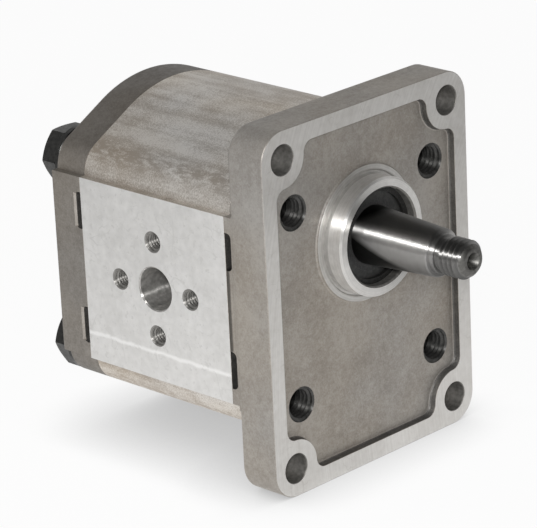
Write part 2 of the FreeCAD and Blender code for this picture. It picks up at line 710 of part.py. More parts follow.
def make_rear_cover():
    """Flat end cover with the case drain port."""
    body = new_body("rear_cover")
    sketch = face_sketch(body)
    housing_outline(sketch)
    pad(body, sketch, "cover_thickness")

    def on_back(edge):
        return edge.BoundBox.YMin > number("cover_thickness") - 1e-4

    dress(body, "Chamfer", on_back, "cover_edge")
    cut_leak_chambers(body)
    cut_seal_groove(body, racetrack, "body_seal_radius", "body_seal_width", "body_seal_depth")
    sketch = face_sketch(body)
    four_circles(sketch, "bolt_pitch", "bolt_pitch", "bolt_diameter / 2 + bolt_play")
    pocket(body, sketch, "cover_thickness")
    seat = "(cover_thickness - drain_seat_depth)"
    hole = "drain_port / 2"
    turned(body, [
        ("0", "cover_thickness"),
        ("drain_spotface / 2", "cover_thickness"),
        ("drain_spotface / 2", seat),
        (f"{hole} + tap_chamfer", seat),
        (hole, f"{seat} - tap_chamfer"),
        (hole, f"{seat} - drain_depth"),
        ("drain_passage / 2", f"{seat} - drain_depth"),
        ("drain_passage / 2", "chamber_depth / 2"),
        ("0", "chamber_depth / 2"),
    ], cut=True)
    cut_dowel_holes(body)
    cut_pry_slots(body, "0", "slot_width")
    place(body, DEPTH["cover"], MIDDLE_HEIGHT)
    return body


# Bearing blocks, bushes and flat seals

def make_bearing_block(name, front):
    """Figure-eight block with two bush bores, its balance groove on the cover's side."""
    body = new_body(name)
    sketch = face_sketch(body)
    figure_eight(sketch, "gear_tip / 2 + tip_play - block_play")
    pad(body, sketch, DEPTH["block"])
    for end in (1, -1):
        sketch = face_sketch(body)
        circle(sketch, "0", signed(end, HALF_CENTRES), "journal_diameter / 2 + journal_play + bush_wall")
        pocket(body, sketch, DEPTH["block"])
    cut_seal_groove(body, peanut, "balance_radius", "balance_groove", "balance_depth")
    for side in (1, -1):
        sketch = face_sketch(body, DEPTH["block"])
        inner = signed(side, "relief_gap / 2")
        outer = signed(side, "gear_tip / 2")
        polygon(sketch, [(inner, "-relief_length / 2"), (outer, "-relief_length / 2"),
                         (outer, "relief_length / 2"), (inner, "relief_length / 2")])
        pocket(body, sketch, "relief_depth", back=True)
    if not front:
        body.Placement = Placement(Vector(), Rotation(UP, 180))
    place(body, DEPTH["housing"] if front else DEPTH["cover"], MIDDLE_HEIGHT)
    return body


def make_bush(name, station, height):
    """A thin-walled plain bearing bush, as long as its block."""
    outer = doc.addObject("Part::Cylinder", name + "_outside")
    inner = doc.addObject("Part::Cylinder", name + "_inside")
    for part, radius in ((outer, "journal_diameter / 2 + journal_play + bush_wall"),
                         (inner, "journal_diameter / 2 + journal_play")):
        part.Placement = Placement(Vector(), Rotation(Vector(1, 0, 0), -90))
        part.setExpression("Radius", bound(radius))
        part.setExpression("Height", bound(DEPTH["block"]))
    bush = doc.addObject("Part::Cut", name)
    bush.Base = outer
    bush.Tool = inner
    bush.Label = name
    place(bush, station, height)
    return bush


def make_ring_seal(name, outline, outer, inner, thickness, station):
    """A flat closed seal that fills a groove between two outlines."""
    body = new_body(name)
    sketch = face_sketch(body)
    outline(sketch, outer)
    outline(sketch, inner)
    pad(body, sketch, thickness)
    place(body, station, MIDDLE_HEIGHT)
    return body


def make_seals():
    """Joint seals in the covers, and balance seals with their backup rings in the blocks."""
    groove_out = "balance_radius + balance_groove / 2 - fit_gap"
    seal_in = "balance_radius + balance_groove / 2 - balance_seal"
    backup_out = f"{seal_in} - fit_gap"
    groove_in = "balance_radius - balance_groove / 2 + fit_gap"
    seats = (
        ("front", f"{DEPTH['housing']} - body_seal_depth + fit_gap", f"{DEPTH['housing']} + fit_gap"),
        ("rear", f"{DEPTH['cover']}", f"{DEPTH['cover']} - balance_depth"),
    )
    pieces = []
    for end, joint_seat, balance_seat in seats:
        pieces.append(make_ring_seal(end + "_body_seal", racetrack,
                                     "body_seal_radius + body_seal_width / 2 - fit_gap",
                                     "body_seal_radius - body_seal_width / 2 + fit_gap",
                                     "body_seal_depth - fit_gap", joint_seat))
        pieces.append(make_ring_seal(end + "_balance_seal", peanut, groove_out, seal_in,
                                     "balance_depth - fit_gap", balance_seat))
        pieces.append(make_ring_seal(end + "_backup_ring", peanut, backup_out, groove_in,
                                     "balance_depth - fit_gap", balance_seat))
    return pieces


# The two gears, each in one piece with its shaft

def tooth_gap(sketch, phase):
    """One gap between two involute teeth, its middle turned by a phase in degrees from +Z."""
    teeth = number("gear_teeth")
    pitch_radius = number("gear_module * gear_teeth / 2")
    pressure = math.radians(number("pressure_angle"))
    base_radius = pitch_radius * math.cos(pressure)
    root = number("gear_root / 2")
    beyond = number("gear_tip / 2 + tip_play + fit_gap")
    tooth = number("pi * gear_module / 2 - flank_play / 2") / pitch_radius / 2

    def involute(angle):
        return math.tan(angle) - angle

    def half_gap(radius):
        tilt = math.acos(min(base_radius / radius, 1.0))
        return math.pi / teeth - (tooth + involute(pressure) - involute(tilt))

    def point(radius, side):
        angle = math.pi / 2 + math.radians(phase) + side * half_gap(radius)
        return Vector(radius * math.cos(angle), radius * math.sin(angle), 0)

    steps = 6
    radii = [base_radius + (beyond - base_radius) * (step / steps) ** 1.5 for step in range(steps + 1)]
    origin = Vector(0, 0, 0)
    flanks = {}
    for side in (-1, 1):
        flanks[side] = Part.BSplineCurve()
        flanks[side].interpolate([point(radius, side) for radius in radii])
    sketch.addGeometry(flanks[-1], False)
    sketch.addGeometry(flanks[1], False)
    for side in (-1, 1):
        foot = point(base_radius, side)
        sketch.addGeometry(Part.LineSegment(foot * (root / foot.Length), foot), False)
    low = [point(base_radius, side) * (root / base_radius) for side in (-1, 1)]
    high = [point(beyond, side) for side in (-1, 1)]
    sketch.addGeometry(arc(origin, *low), False)
    sketch.addGeometry(arc(origin, *high), False)


def cut_teeth(body, phase):
    """Cuts one tooth gap along the gear and repeats it round the shaft."""
    sketch = face_sketch(body, DEPTH["gear"])
    tooth_gap(sketch, phase)
    gap = pocket(body, sketch, "gear_width")
    before = body.Shape.Volume
    pattern = body.newObject("PartDesign::PolarPattern", body.Name + "_teeth")
    axis = [item for item in body.Origin.OriginFeatures if item.Role == "Y_Axis"][0]
    pattern.Originals = [gap]
    pattern.Axis = (axis, [""])
    pattern.Angle = 360
    pattern.setExpression("Occurrences", bound("gear_teeth"))
    body.Tip = pattern
    settle(pattern, before)

    def sharp_root(edge):
        mean = edge.CenterOfMass
        along = isinstance(edge.Curve, Part.Line) and abs(abs(edge.Curve.Direction.y) - 1) < 1e-6
        return along and abs(math.hypot(mean.x, mean.z) - number("gear_root / 2")) < 1e-3

    dress(body, "Fillet", sharp_root, "gear_module / 4")


JOURNAL = "journal_diameter / 2"
GEAR_END = f"({DEPTH['gear']} + gear_width)"
SHAFT_BACK = f"({GEAR_END} + {DEPTH['block']} + journal_overrun)"


def gear_and_back_end():
    """Corners of the half section from the gear's front face to the inner end."""
    return [
        (JOURNAL, DEPTH["gear"]),
        ("gear_tip / 2", DEPTH["gear"]),
        ("gear_tip / 2", GEAR_END),
        (JOURNAL, GEAR_END),
        (JOURNAL, f"{SHAFT_BACK} - journal_chamfer"),
        (f"{JOURNAL} - journal_chamfer", SHAFT_BACK),
    ]


def make_drive_gear_shaft():
    """Drive gear with the taper, the nut's thread and the seat of the half-moon key."""
    body = new_body("drive_gear_shaft")
    end = "-shaft_reach"
    small = "taper_diameter / 2"
    taper_length = "(journal_diameter - taper_diameter) * taper_ratio"
    cone_depth = "(centre_cone - centre_drill) / 2 * sqrt(3)"
    turned(body, [
        ("0", f"{end} + centre_depth"),
        ("centre_drill / 2", f"{end} + centre_depth"),
        ("centre_drill / 2", f"{end} + {cone_depth}"),
        ("centre_cone / 2", end),
        ("thread_diameter / 2 - thread_chamfer", end),
        ("thread_diameter / 2", f"{end} + thread_chamfer"),
        ("thread_diameter / 2", "-undercut_reach"),
        ("undercut_diameter / 2", "-undercut_reach"),
        ("undercut_diameter / 2", "-collar_reach"),
        ("thread_diameter / 2", "-collar_reach"),
        ("thread_diameter / 2", "-taper_reach"),
        (f"{small} - taper_edge", "-taper_reach"),
        (f"{small} + taper_edge / taper_ratio / 2", "-taper_reach + taper_edge"),
        (JOURNAL, f"-taper_reach + {taper_length}"),
    ] + gear_and_back_end() + [("0", SHAFT_BACK)])
    sketch = new_sketch(body, "XY")
    circle(sketch, f"{key_floor()} + key_disc / 2", "-key_station", "key_disc / 2")
    pocket(body, sketch, "key_width + 2 * fit_gap", both=True)
    cut_teeth(body, number("180 / gear_teeth"))
    return body


def key_floor():
    """Distance of the key seat's floor from the shaft's axis, at the key's middle."""
    return "(taper_diameter / 2 + (taper_reach - key_station) / taper_ratio / 2 - key_seat)"


def make_driven_gear_shaft():
    """Driven gear with its two journals and the oil bore along it."""
    body = new_body("driven_gear_shaft")
    front = f"({DEPTH['gear']} - {DEPTH['block']} - journal_overrun)"
    turned(body, [
        ("oil_bore / 2", front),
        (f"{JOURNAL} - journal_chamfer", front),
        (JOURNAL, f"{front} + journal_chamfer"),
    ] + gear_and_back_end() + [("oil_bore / 2", SHAFT_BACK)])
    cut_teeth(body, 0)
    place(body, up="-centre_distance")
    return body


def make_woodruff_key():
    """Half-moon key: a disc's segment that stands out of the taper on its +X side."""
    body = new_body("woodruff_key")
    sketch = new_sketch(body, "XY")
    radius = "(key_disc / 2 - fit_gap)"
    middle = Vector(number(f"{key_floor()} + key_disc / 2"), number("-key_station"), 0)
    flat = number(f"{key_floor()} + key_height")
    half = math.sqrt(number(radius) ** 2 - (flat - middle.x) ** 2)
    top = Vector(flat, middle.y + half, 0)
    bottom = Vector(flat, middle.y - half, 0)
    round_side, flat_side = chain(sketch, [(arc(middle, top, bottom), True, False),
                                           (Part.LineSegment(bottom, top), True, False)])
    hold(sketch, round_side, 3, f"{key_floor()} + key_disc / 2", "-key_station")
    size_constraint(sketch, radius, "Radius", round_side)
    sketch.addConstraint(Sketcher.Constraint("Vertical", flat_side))
    size_constraint(sketch, f"{key_floor()} + key_height", "DistanceX", -1, 1, flat_side, 1)
    pad(body, sketch, "key_width", both=True)
    return body


# The shaft seal and its retaining ring

RING_FRONT = "(-pilot_height + ring_recess)"
SEAL_FRONT = f"({RING_FRONT} + ring_thickness + fit_gap)"


def make_shaft_seal():
    """Steel case, rubber lips and garter spring of the radial shaft seal."""
    case = new_body("shaft_seal_case")
    outside = "seal_bore / 2 - fit_gap"
    wall = f"({outside} - seal_case_wall)"
    web = f"({SEAL_FRONT} + seal_case_wall)"
    back = f"({SEAL_FRONT} + seal_width)"
    turned(case, [("seal_web_bore / 2", SEAL_FRONT), (outside, SEAL_FRONT), (outside, back),
                  (wall, back), (wall, web), ("seal_web_bore / 2", web)])
    lip = new_body("shaft_seal_lip")
    shaft = f"({JOURNAL} + lip_play)"
    foot = "(seal_web_bore / 2 - fit_gap)"
    spring_station = f"({back} - 1.5 * spring_wire)"
    under_spring = f"({shaft} + spring_wire)"
    turned(lip, [
        (shaft, f"{SEAL_FRONT} + fit_gap"),
        (foot, f"{SEAL_FRONT} + fit_gap"),
        (foot, f"{web} + seal_case_wall"),
        (under_spring, f"{spring_station} - spring_wire"),
        (under_spring, f"{spring_station} + spring_wire"),
        (f"{shaft} + spring_wire / 2", f"{spring_station} + spring_wire"),
        (shaft, spring_station),
        (f"{shaft} + spring_wire / 2", f"{web} + seal_case_wall"),
    ])
    spring = new_body("seal_garter_spring")
    corners = []
    for step in range(8):
        turn = f"{45 * step + 22.5}deg"
        corners.append((f"{under_spring} + spring_wire / 2 * (1 + cos({turn})) + fit_gap",
                        f"{spring_station} + spring_wire / 2 * sin({turn})"))
    turned(spring, corners)
    return [case, lip, spring]


def make_retaining_ring():
    """Internal retaining ring, open between its two plier ears, which are turned to the upper left."""
    body = new_body("seal_retaining_ring")
    body.Placement = Placement(Vector(), Rotation(Vector(0, 1, 0), number("ring_turn")))
    body.setExpression("Placement.Rotation.Angle", bound("ring_turn"))
    outside = "ring_groove / 2 - fit_gap"
    sketch = face_sketch(body, RING_FRONT)
    circle(sketch, "0", "0", outside)
    circle(sketch, "0", "0", f"{outside} - ring_band")
    pad(body, sketch, "ring_thickness")
    ears = []
    for side in (1, -1):
        across = signed(side, "ring_lug_circle * sin(ring_lug_angle * 1deg)")
        ears.append((across, "-ring_lug_circle * cos(ring_lug_angle * 1deg)"))
    for ear in ears:
        sketch = face_sketch(body, RING_FRONT)
        circle(sketch, *ear, "ring_lug")
        pad(body, sketch, "ring_thickness")
    for ear in ears:
        sketch = face_sketch(body, RING_FRONT)
        circle(sketch, *ear, "ring_eye")
        pocket(body, sketch, "ring_thickness")
    sketch = face_sketch(body, RING_FRONT)
    half = "ring_gap / 2"
    polygon(sketch, [(f"-{half}", f"-{JOURNAL}"), (half, f"-{JOURNAL}"),
                     (half, "-ring_groove"), (f"-{half}", "-ring_groove")])
    pocket(body, sketch, "ring_thickness")
    return body


# Fasteners, each kind a group of separate solids in one node

def bolt_places():
    """Height formulas and side formulas of the four through bolts."""
    return [(signed(side, "bolt_pitch / 2"), f"{signed(end, 'bolt_pitch / 2')} - centre_distance / 2")
            for side, end in QUARTERS]


def stand_at(part, across, along, up, turn=-90):
    """Turns a primitive's axis to +Y and ties its place to the sheet."""
    part.Placement = Placement(Vector(), Rotation(Vector(1, 0, 0), turn))
    for axis, formula in (("x", across), ("y", along), ("z", up)):
        part.setExpression(f"Placement.Base.{axis}", bound(formula))


def group(name, parts):
    """One node that holds several separate solids."""
    whole = doc.addObject("Part::Compound", name)
    whole.Links = parts
    whole.Label = name
    return whole


def make_through_bolts():
    """Four hexagon bolts, from behind the rear cover into the flange."""
    seat = f"({DEPTH['cover']} + cover_thickness + washer_thickness)"
    bolts = []
    for index, (across, up) in enumerate(bolt_places()):
        shank = doc.addObject("Part::Cylinder", f"bolt_shank_{index}")
        shank.setExpression("Radius", bound("bolt_diameter / 2"))
        shank.setExpression("Height", bound("bolt_length + bolt_head_height / 2"))
        stand_at(shank, across, f"{seat} - bolt_length", up)
        prism = doc.addObject("Part::Prism", f"bolt_hexagon_{index}")
        prism.Polygon = 6
        prism.setExpression("Circumradius", bound("bolt_head_width / sqrt(3)"))
        prism.setExpression("Height", bound("bolt_head_height"))
        stand_at(prism, across, seat, up)
        cone = doc.addObject("Part::Cone", f"bolt_head_chamfer_{index}")
        cone.setExpression("Radius1", bound("bolt_head_width * 0.48 + bolt_head_height * sqrt(3)"))
        cone.setExpression("Radius2", bound("bolt_head_width * 0.48"))
        cone.setExpression("Height", bound("bolt_head_height"))
        stand_at(cone, across, seat, up)
        head = doc.addObject("Part::Common", f"bolt_head_{index}")
        head.Base = prism
        head.Tool = cone
        bolt = doc.addObject("Part::Fuse", f"bolt_{index}")
        bolt.Base = head
        bolt.Tool = shank
        bolts.append(bolt)
    return group("through_bolts", bolts)


def make_bolt_washers():
    """A flat washer under each bolt head."""
    seat = f"({DEPTH['cover']} + cover_thickness)"
    washers = []
    for index, (across, up) in enumerate(bolt_places()):
        rings = []
        for suffix, radius in (("disc", "washer_diameter / 2"), ("hole", "bolt_diameter / 2 + bolt_play")):
            ring = doc.addObject("Part::Cylinder", f"washer_{suffix}_{index}")
            ring.setExpression("Radius", bound(radius))
            ring.setExpression("Height", bound("washer_thickness"))
            stand_at(ring, across, seat, up)
            rings.append(ring)
        washer = doc.addObject("Part::Cut", f"washer_{index}")
        washer.Base, washer.Tool = rings
        washers.append(washer)
    return group("bolt_washers", washers)


def make_dowels(name, joint):
    """Two plain pins across a joint, on a diagonal."""
    pins = []
    for side in (1, -1):
        pin = doc.addObject("Part::Cylinder", f"{name}_pin")
        pin.setExpression("Radius", bound("dowel_diameter / 2"))
        pin.setExpression("Height", bound("dowel_length"))
        stand_at(pin, signed(side, "dowel_x"), f"{joint} - dowel_length / 2",
                 f"{signed(-side, 'dowel_z')} - centre_distance / 2")
        pins.append(pin)
    return group(name, pins)


pieces = [
    make_front_flange(),
    make_gear_housing(),
    make_rear_cover(),
    make_drive_gear_shaft(),
    make_driven_gear_shaft(),
    make_woodruff_key(),
    make_bearing_block("front_bearing_block", front=True),
    make_bearing_block("rear_bearing_block", front=False),
    make_retaining_ring(),
    make_through_bolts(),
    make_bolt_washers(),
    make_dowels("front_dowels", DEPTH["housing"]),
    make_dowels("rear_dowels", DEPTH["cover"]),
]
for end, station in (("front", DEPTH["housing"]), ("rear", f"{DEPTH['cover']} - {DEPTH['block']}")):
    for shaft, height in (("drive", "0"), ("driven", "-centre_distance")):
        pieces.append(make_bush(f"{end}_{shaft}_bush", station, height))
pieces += make_seals() + make_shaft_seal()

doc.recompute()
for item in doc.Objects:
    if "Invalid" in item.State or "Error" in item.State:
        raise RuntimeError(f"{item.Name} is in state {item.State}")
for piece in pieces:
    if piece.Shape.isNull() or not piece.Shape.isValid():
        raise RuntimeError(f"{piece.Label} has no valid shape")
os.makedirs("parts", exist_ok=True)
for piece in pieces:
    piece.Shape.exportStep(os.path.join("parts", piece.Label + ".step"))
    print(piece.Label, len(piece.Shape.Solids), round(piece.Shape.Volume, 1))
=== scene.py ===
# %% [markdown]
# # A hydraulic gear motor, from its frame to its finish
# The construction of the motor comes ready made: named solids at their real size and place.
# This lesson dresses them. The casings, the shaft and the bolts get finer meshes with soft cast
# edges, crisp machined edges and real threads, and every surface gets a finish of its own.

# %% Load the frame
import json
import math

import bmesh
import bpy
from mathutils import Matrix, Vector


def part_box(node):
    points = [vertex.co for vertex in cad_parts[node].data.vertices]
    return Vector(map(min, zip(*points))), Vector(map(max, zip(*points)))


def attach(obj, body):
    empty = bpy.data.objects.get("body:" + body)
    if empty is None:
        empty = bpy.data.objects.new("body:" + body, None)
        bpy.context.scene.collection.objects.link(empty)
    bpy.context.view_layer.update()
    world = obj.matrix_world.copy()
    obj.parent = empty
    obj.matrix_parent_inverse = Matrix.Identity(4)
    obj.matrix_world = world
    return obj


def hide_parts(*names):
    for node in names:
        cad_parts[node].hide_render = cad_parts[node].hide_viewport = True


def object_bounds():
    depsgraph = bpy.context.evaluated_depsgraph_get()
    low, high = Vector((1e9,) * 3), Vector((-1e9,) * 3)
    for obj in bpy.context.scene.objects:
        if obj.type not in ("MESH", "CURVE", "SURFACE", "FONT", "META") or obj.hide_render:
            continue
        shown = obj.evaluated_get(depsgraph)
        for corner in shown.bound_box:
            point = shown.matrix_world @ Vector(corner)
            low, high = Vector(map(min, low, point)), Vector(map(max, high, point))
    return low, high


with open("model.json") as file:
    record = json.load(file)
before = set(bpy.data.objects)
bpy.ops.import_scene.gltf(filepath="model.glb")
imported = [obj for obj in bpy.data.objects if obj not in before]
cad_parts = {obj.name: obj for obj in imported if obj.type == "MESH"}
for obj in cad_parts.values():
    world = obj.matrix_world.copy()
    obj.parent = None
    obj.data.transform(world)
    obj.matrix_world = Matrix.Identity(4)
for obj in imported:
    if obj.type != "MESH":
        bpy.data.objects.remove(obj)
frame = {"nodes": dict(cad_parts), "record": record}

CAD_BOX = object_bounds()
MM = 0.001

# %% [markdown]
# ## The sizes that the looks need
# The frame knows where each piece lies, so most sizes are read from it. A few, such as the width
# of a rim or the radius of a pad, can't be read from a box and are named here once, as a drawing
# would. All heights across the flange are taken from the middle between its mounting holes.

# %% Sizes
mounts = {mount["name"]: mount for mount in frame["record"]["mounts"]}


def dim(mount, key):
    """One of a mount's sizes, in metres."""
    return mounts[mount]["dims"][key] * MM


flange_low, flange_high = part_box("front_flange")
housing_low, housing_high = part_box("gear_housing")
MIDDLE = mounts["mounting_holes"]["pos_m"][2]
PLATE_WIDTH = flange_high.x - flange_low.x
PLATE_HEIGHT = flange_high.z - flange_low.z
PLATE_BACK = 13.9 * MM
PLATE_CORNER = 9.0 * MM
RIM_WIDTH = 5.7 * MM
RECESS = 2.3 * MM
PAD_RADIUS = 9.0 * MM
PAD_FILLET = 3.5 * MM
MOUNT_X = dim("mounting_holes", "spacing_x_mm") / 2
MOUNT_Z = dim("mounting_holes", "spacing_y_mm") / 2
MOUNT_HOLE = dim("mounting_holes", "hole_r_mm")
PILOT = dim("pilot", "r_mm")
FOOT_RING = 21.0 * MM
BOLT_PITCH = 60.0 * MM
BOLT_HOLE = 5.4 * MM
TAP_HOLE = 5.05 * MM
SHAFT_ROOM = 10.2 * MM
SLOT_WIDTH = 2.5 * MM
SLOT_LOW, SLOT_HIGH = 12.7 * MM, 24.5 * MM
PORT_STATION = mounts["port_left"]["pos_m"][1]
PORT_RADIUS = dim("port_left", "r_mm")
SCREW_CIRCLE = dim("port_left_screws", "pcd_mm") / 2
PORT_FACE = housing_high.x
QUARTERS = ((1, 1), (-1, 1), (-1, -1), (1, -1))
CLOSE = 0.01 * MM
SAME_PLACE = 0.001 * MM


def stations(node):
    """Where a frame piece starts and ends along the motor."""
    low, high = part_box(node)
    return low.y, high.y


def corner_places(across, height):
    """Four places at equal distances from the motor's middle, as (x, 0, z)."""
    return [Vector((side * across, 0, end * height + MIDDLE)) for side, end in QUARTERS]


SPIGOT_FACE, FRONT_JOINT = stations("front_flange")
REAR_JOINT = housing_high.y
COVER_BACK = stations("rear_cover")[1]
SHAFT_TIP = stations("drive_gear_shaft")[0]
MOUNT_PLACES = corner_places(MOUNT_X, MOUNT_Z)
BOLT_PLACES = corner_places(BOLT_PITCH / 2, BOLT_PITCH / 2)
print("plate", round(PLATE_WIDTH / MM, 2), "x", round(PLATE_HEIGHT / MM, 2), "mm")

# %% [markdown]
# ## The camera
# The photograph was taken from the front left, a little above, with a long lens. Its place was
# worked out from the mounting holes, ports and edges, whose real sizes are known. The camera is
# built from that direction, a distance, and a small offset of the object in the picture.

# %% Camera
def placed(name, data):
    """A new object in the scene, at the origin."""
    made = bpy.data.objects.new(name, data)
    bpy.context.scene.collection.objects.link(made)
    return made


AZIMUTH, ELEVATION, ROLL = (math.radians(angle) for angle in (-45.154, 19.801, -2.765))
DISTANCE = 990.93 * MM
OFFSET_RIGHT, OFFSET_UP = -30.195 * MM, -9.0 * MM
IMAGE_WIDTH = 537
FOCAL_IN_PIXELS = 3334.1
SENSOR = 36.0

back = Vector((math.sin(AZIMUTH) * math.cos(ELEVATION),
               -math.cos(AZIMUTH) * math.cos(ELEVATION), math.sin(ELEVATION)))
level = Vector((math.cos(AZIMUTH), math.sin(AZIMUTH), 0))
above = back.cross(level)
right = math.cos(ROLL) * level + math.sin(ROLL) * above
up = math.cos(ROLL) * above - math.sin(ROLL) * level

camera = placed("camera", bpy.data.cameras.new("camera"))
camera.data.sensor_width = SENSOR
camera.data.lens = FOCAL_IN_PIXELS / IMAGE_WIDTH * SENSOR
place = DISTANCE * back + OFFSET_RIGHT * right + OFFSET_UP * up
camera.matrix_world = Matrix.Translation(place) @ Matrix((right, up, back)).transposed().to_4x4()
bpy.context.scene.camera = camera
bpy.context.scene.view_settings.view_transform = "Standard"
print("lens", round(camera.data.lens, 1), "mm at", round(place.length, 3), "m")

# %% [markdown]
# ## Finishes, part one: how a material is put together
# A finish is a small node tree: noise and waves on the object's own coordinates steer the colour,
# the roughness and a bump. Writing the trees in code keeps them short. These helpers add a node,
# link it and hand back its output, so a finish reads from top to bottom. The same helpers build the
# Geometry Nodes trees and the studio later on.

# %% Node helpers
def adder(tree):
    """A function that adds a node to a tree and links or sets its inputs."""
    def add(kind, sources=None, **settings):
        node = tree.nodes.new(kind)
        for key, setting in settings.items():
            setattr(node, key, setting)
        for socket, source in (sources or {}).items():
            if isinstance(source, bpy.types.NodeSocket):
                tree.links.new(source, node.inputs[socket])
            else:
                node.inputs[socket].default_value = source
        return node

    return add


def computed(add, operation, *values):
    """The result of a Math node on sockets or numbers."""
    return add("ShaderNodeMath", dict(enumerate(values)), operation=operation).outputs[0]


def directed(add, operation, *vectors):
    """The result of a Vector Math node, a vector or a number."""
    node = add("ShaderNodeVectorMath", dict(enumerate(vectors)), operation=operation)
    return node.outputs["Value" if operation in ("DISTANCE", "LENGTH", "DOT_PRODUCT") else "Vector"]


def parts_of(add, vector):
    """The X, Y and Z of a vector."""
    return add("ShaderNodeSeparateXYZ", {0: vector}).outputs


def total(add, *values):
    """The sum of several values."""
    result = values[0]
    for value in values[1:]:
        result = computed(add, "ADD", result, value)
    return result


def scaled(add, value, factor):
    """A value times a number or another value."""
    return computed(add, "MULTIPLY", value, factor)


def blend(add, *pairs):
    """A weighted sum; each pair is (weight, value)."""
    return total(add, *[scaled(add, value, weight) for weight, value in pairs])


def size_of(add, value):
    """The value without its sign."""
    return computed(add, "ABSOLUTE", value)


def spread(add, source, low, high, start=0.35, end=0.65):
    """Maps a range of values, by default the middle of a noise, to another range."""
    return add("ShaderNodeMapRange", {"Value": source, "From Min": start, "From Max": end,
                                      "To Min": low, "To Max": high}).outputs["Result"]


def band_at(add, value, centre, half_width):
    """One where a value meets a centre, fading to zero on both sides of it."""
    return spread(add, size_of(add, total(add, value, -centre)), 1.0, 0.0, 0.0, half_width)


print("node helpers: sums, products, ranges and bands")

# %% Material helpers
def new_finish(name):
    """A material with a Principled shader, and the function that adds nodes to it."""
    material = bpy.data.materials.new(name)
    material.use_nodes = True
    return material, adder(material.node_tree)


def place_on(add):
    """The place on a piece. Every piece's own coordinates are the motor's."""
    return add("ShaderNodeTexCoord").outputs["Object"]


def grain(add, scale, detail=3.0, stretch=(1, 1, 1)):
    """Noise between 0 and 1, with a number of waves per metre and a stretch."""
    sized = add("ShaderNodeMapping", {"Vector": place_on(add), "Scale": stretch}).outputs["Vector"]
    return add("ShaderNodeTexNoise", {"Vector": sized, "Scale": scale, "Detail": detail}).outputs["Fac"]


def mottled(add, *layers):
    """A weighted sum of noises; each layer is (weight, scale, detail), and a stretch if it needs one."""
    return blend(add, *[(layer[0], grain(add, *layer[1:])) for layer in layers])


def tint(add, factor, dark, light):
    """A colour between two, by a factor."""
    mix = add("ShaderNodeMix", {"Factor": factor}, data_type="RGBA")
    colours = [socket for socket in mix.inputs if socket.type == "RGBA"]
    colours[0].default_value = (*dark, 1)
    colours[1].default_value = (*light, 1)
    return [socket for socket in mix.outputs if socket.type == "RGBA"][0]


def toned(add, colour, saturation, value=1.0):
    """A colour made duller or stronger by its saturation, and darker or lighter by its value."""
    return add("ShaderNodeHueSaturation", {"Saturation": saturation, "Value": value,
                                           "Color": colour}).outputs["Color"]


def dressed(material, add, colour, roughness, metallic, height, depth, tangent=None, anisotropic=0.0):
    """Feeds the shader with its colour, roughness and bump; depth is how deep a height of one is."""
    shader = material.node_tree.nodes["Principled BSDF"]
    bump = add("ShaderNodeBump", {"Height": height, "Strength": 1.0, "Distance": depth}).outputs["Normal"]
    sources = {"Base Color": colour, "Roughness": roughness, "Normal": bump}
    if tangent:
        sources["Tangent"] = tangent
    for socket, source in sources.items():
        material.node_tree.links.new(source, shader.inputs[socket])
    shader.inputs["Metallic"].default_value = metallic
    shader.inputs["Anisotropic"].default_value = anisotropic
    return material


print("material helpers: grain, tint, tone, and the shader that they feed")

# %% [markdown]
# ## Finishes, part two: cast, extruded and milled aluminium
# The flange and the rear cover are cast: a dull, slightly warm grey with fine grain and soft blotches,
# darker on the cover. The housing is extruded, so its faint marks run along the motor, and it has
# stains from handling. Its port faces and the flange's rim are milled bright.

# %% Cast and extruded aluminium
def from_middle(add):
    """Height above the motor's middle."""
    return total(add, parts_of(add, place_on(add))["Z"], -MIDDLE)


def joint_shadow(add):
    """One, and less on a thin line of painted shadow along the flange's joint, between its two pry slots."""
    near = band_at(add, parts_of(add, place_on(add))["Y"], FRONT_JOINT - 0.4 * MM, 1.9 * MM)
    between = spread(add, size_of(add, from_middle(add)), 1.0, 0.0, 12 * MM, 15 * MM)
    return spread(add, scaled(add, near, between), 1.0, 0.3)


def cast_finish(name, dark, light, domes=1.0):
    """Die cast aluminium: grain, warm and cool blotches and a dull sheen, with a painted shadow along the
    flange's joint; a domes factor below one paints shade on the domes.
    """
    material, add = new_finish(name)
    shade = mottled(add, (0.4, 60, 4), (0.25, 500, 3), (0.35, 1900, 2))
    specks = spread(add, grain(add, 1300, 1), 0.0, 0.35, 0.72, 0.82)
    colour = tint(add, total(add, spread(add, shade, 0, 1, 0.4, 0.6), specks), dark, light)
    # Painted shade: darker towards the domes, down to the domes factor from 30 to 38 mm off the middle, and
    # along the flange's joint.
    value = spread(add, size_of(add, from_middle(add)), 1.0, domes, 30 * MM, 38 * MM)
    warmth = spread(add, grain(add, 24, 2), 0.7, 1.2)
    return dressed(material, add, toned(add, colour, warmth, scaled(add, value, joint_shadow(add))),
                   spread(add, grain(add, 700, 3), 0.48, 0.62), 0.7,
                   mottled(add, (0.6, 1500, 3), (0.8, 320, 2)), 0.08 * MM)


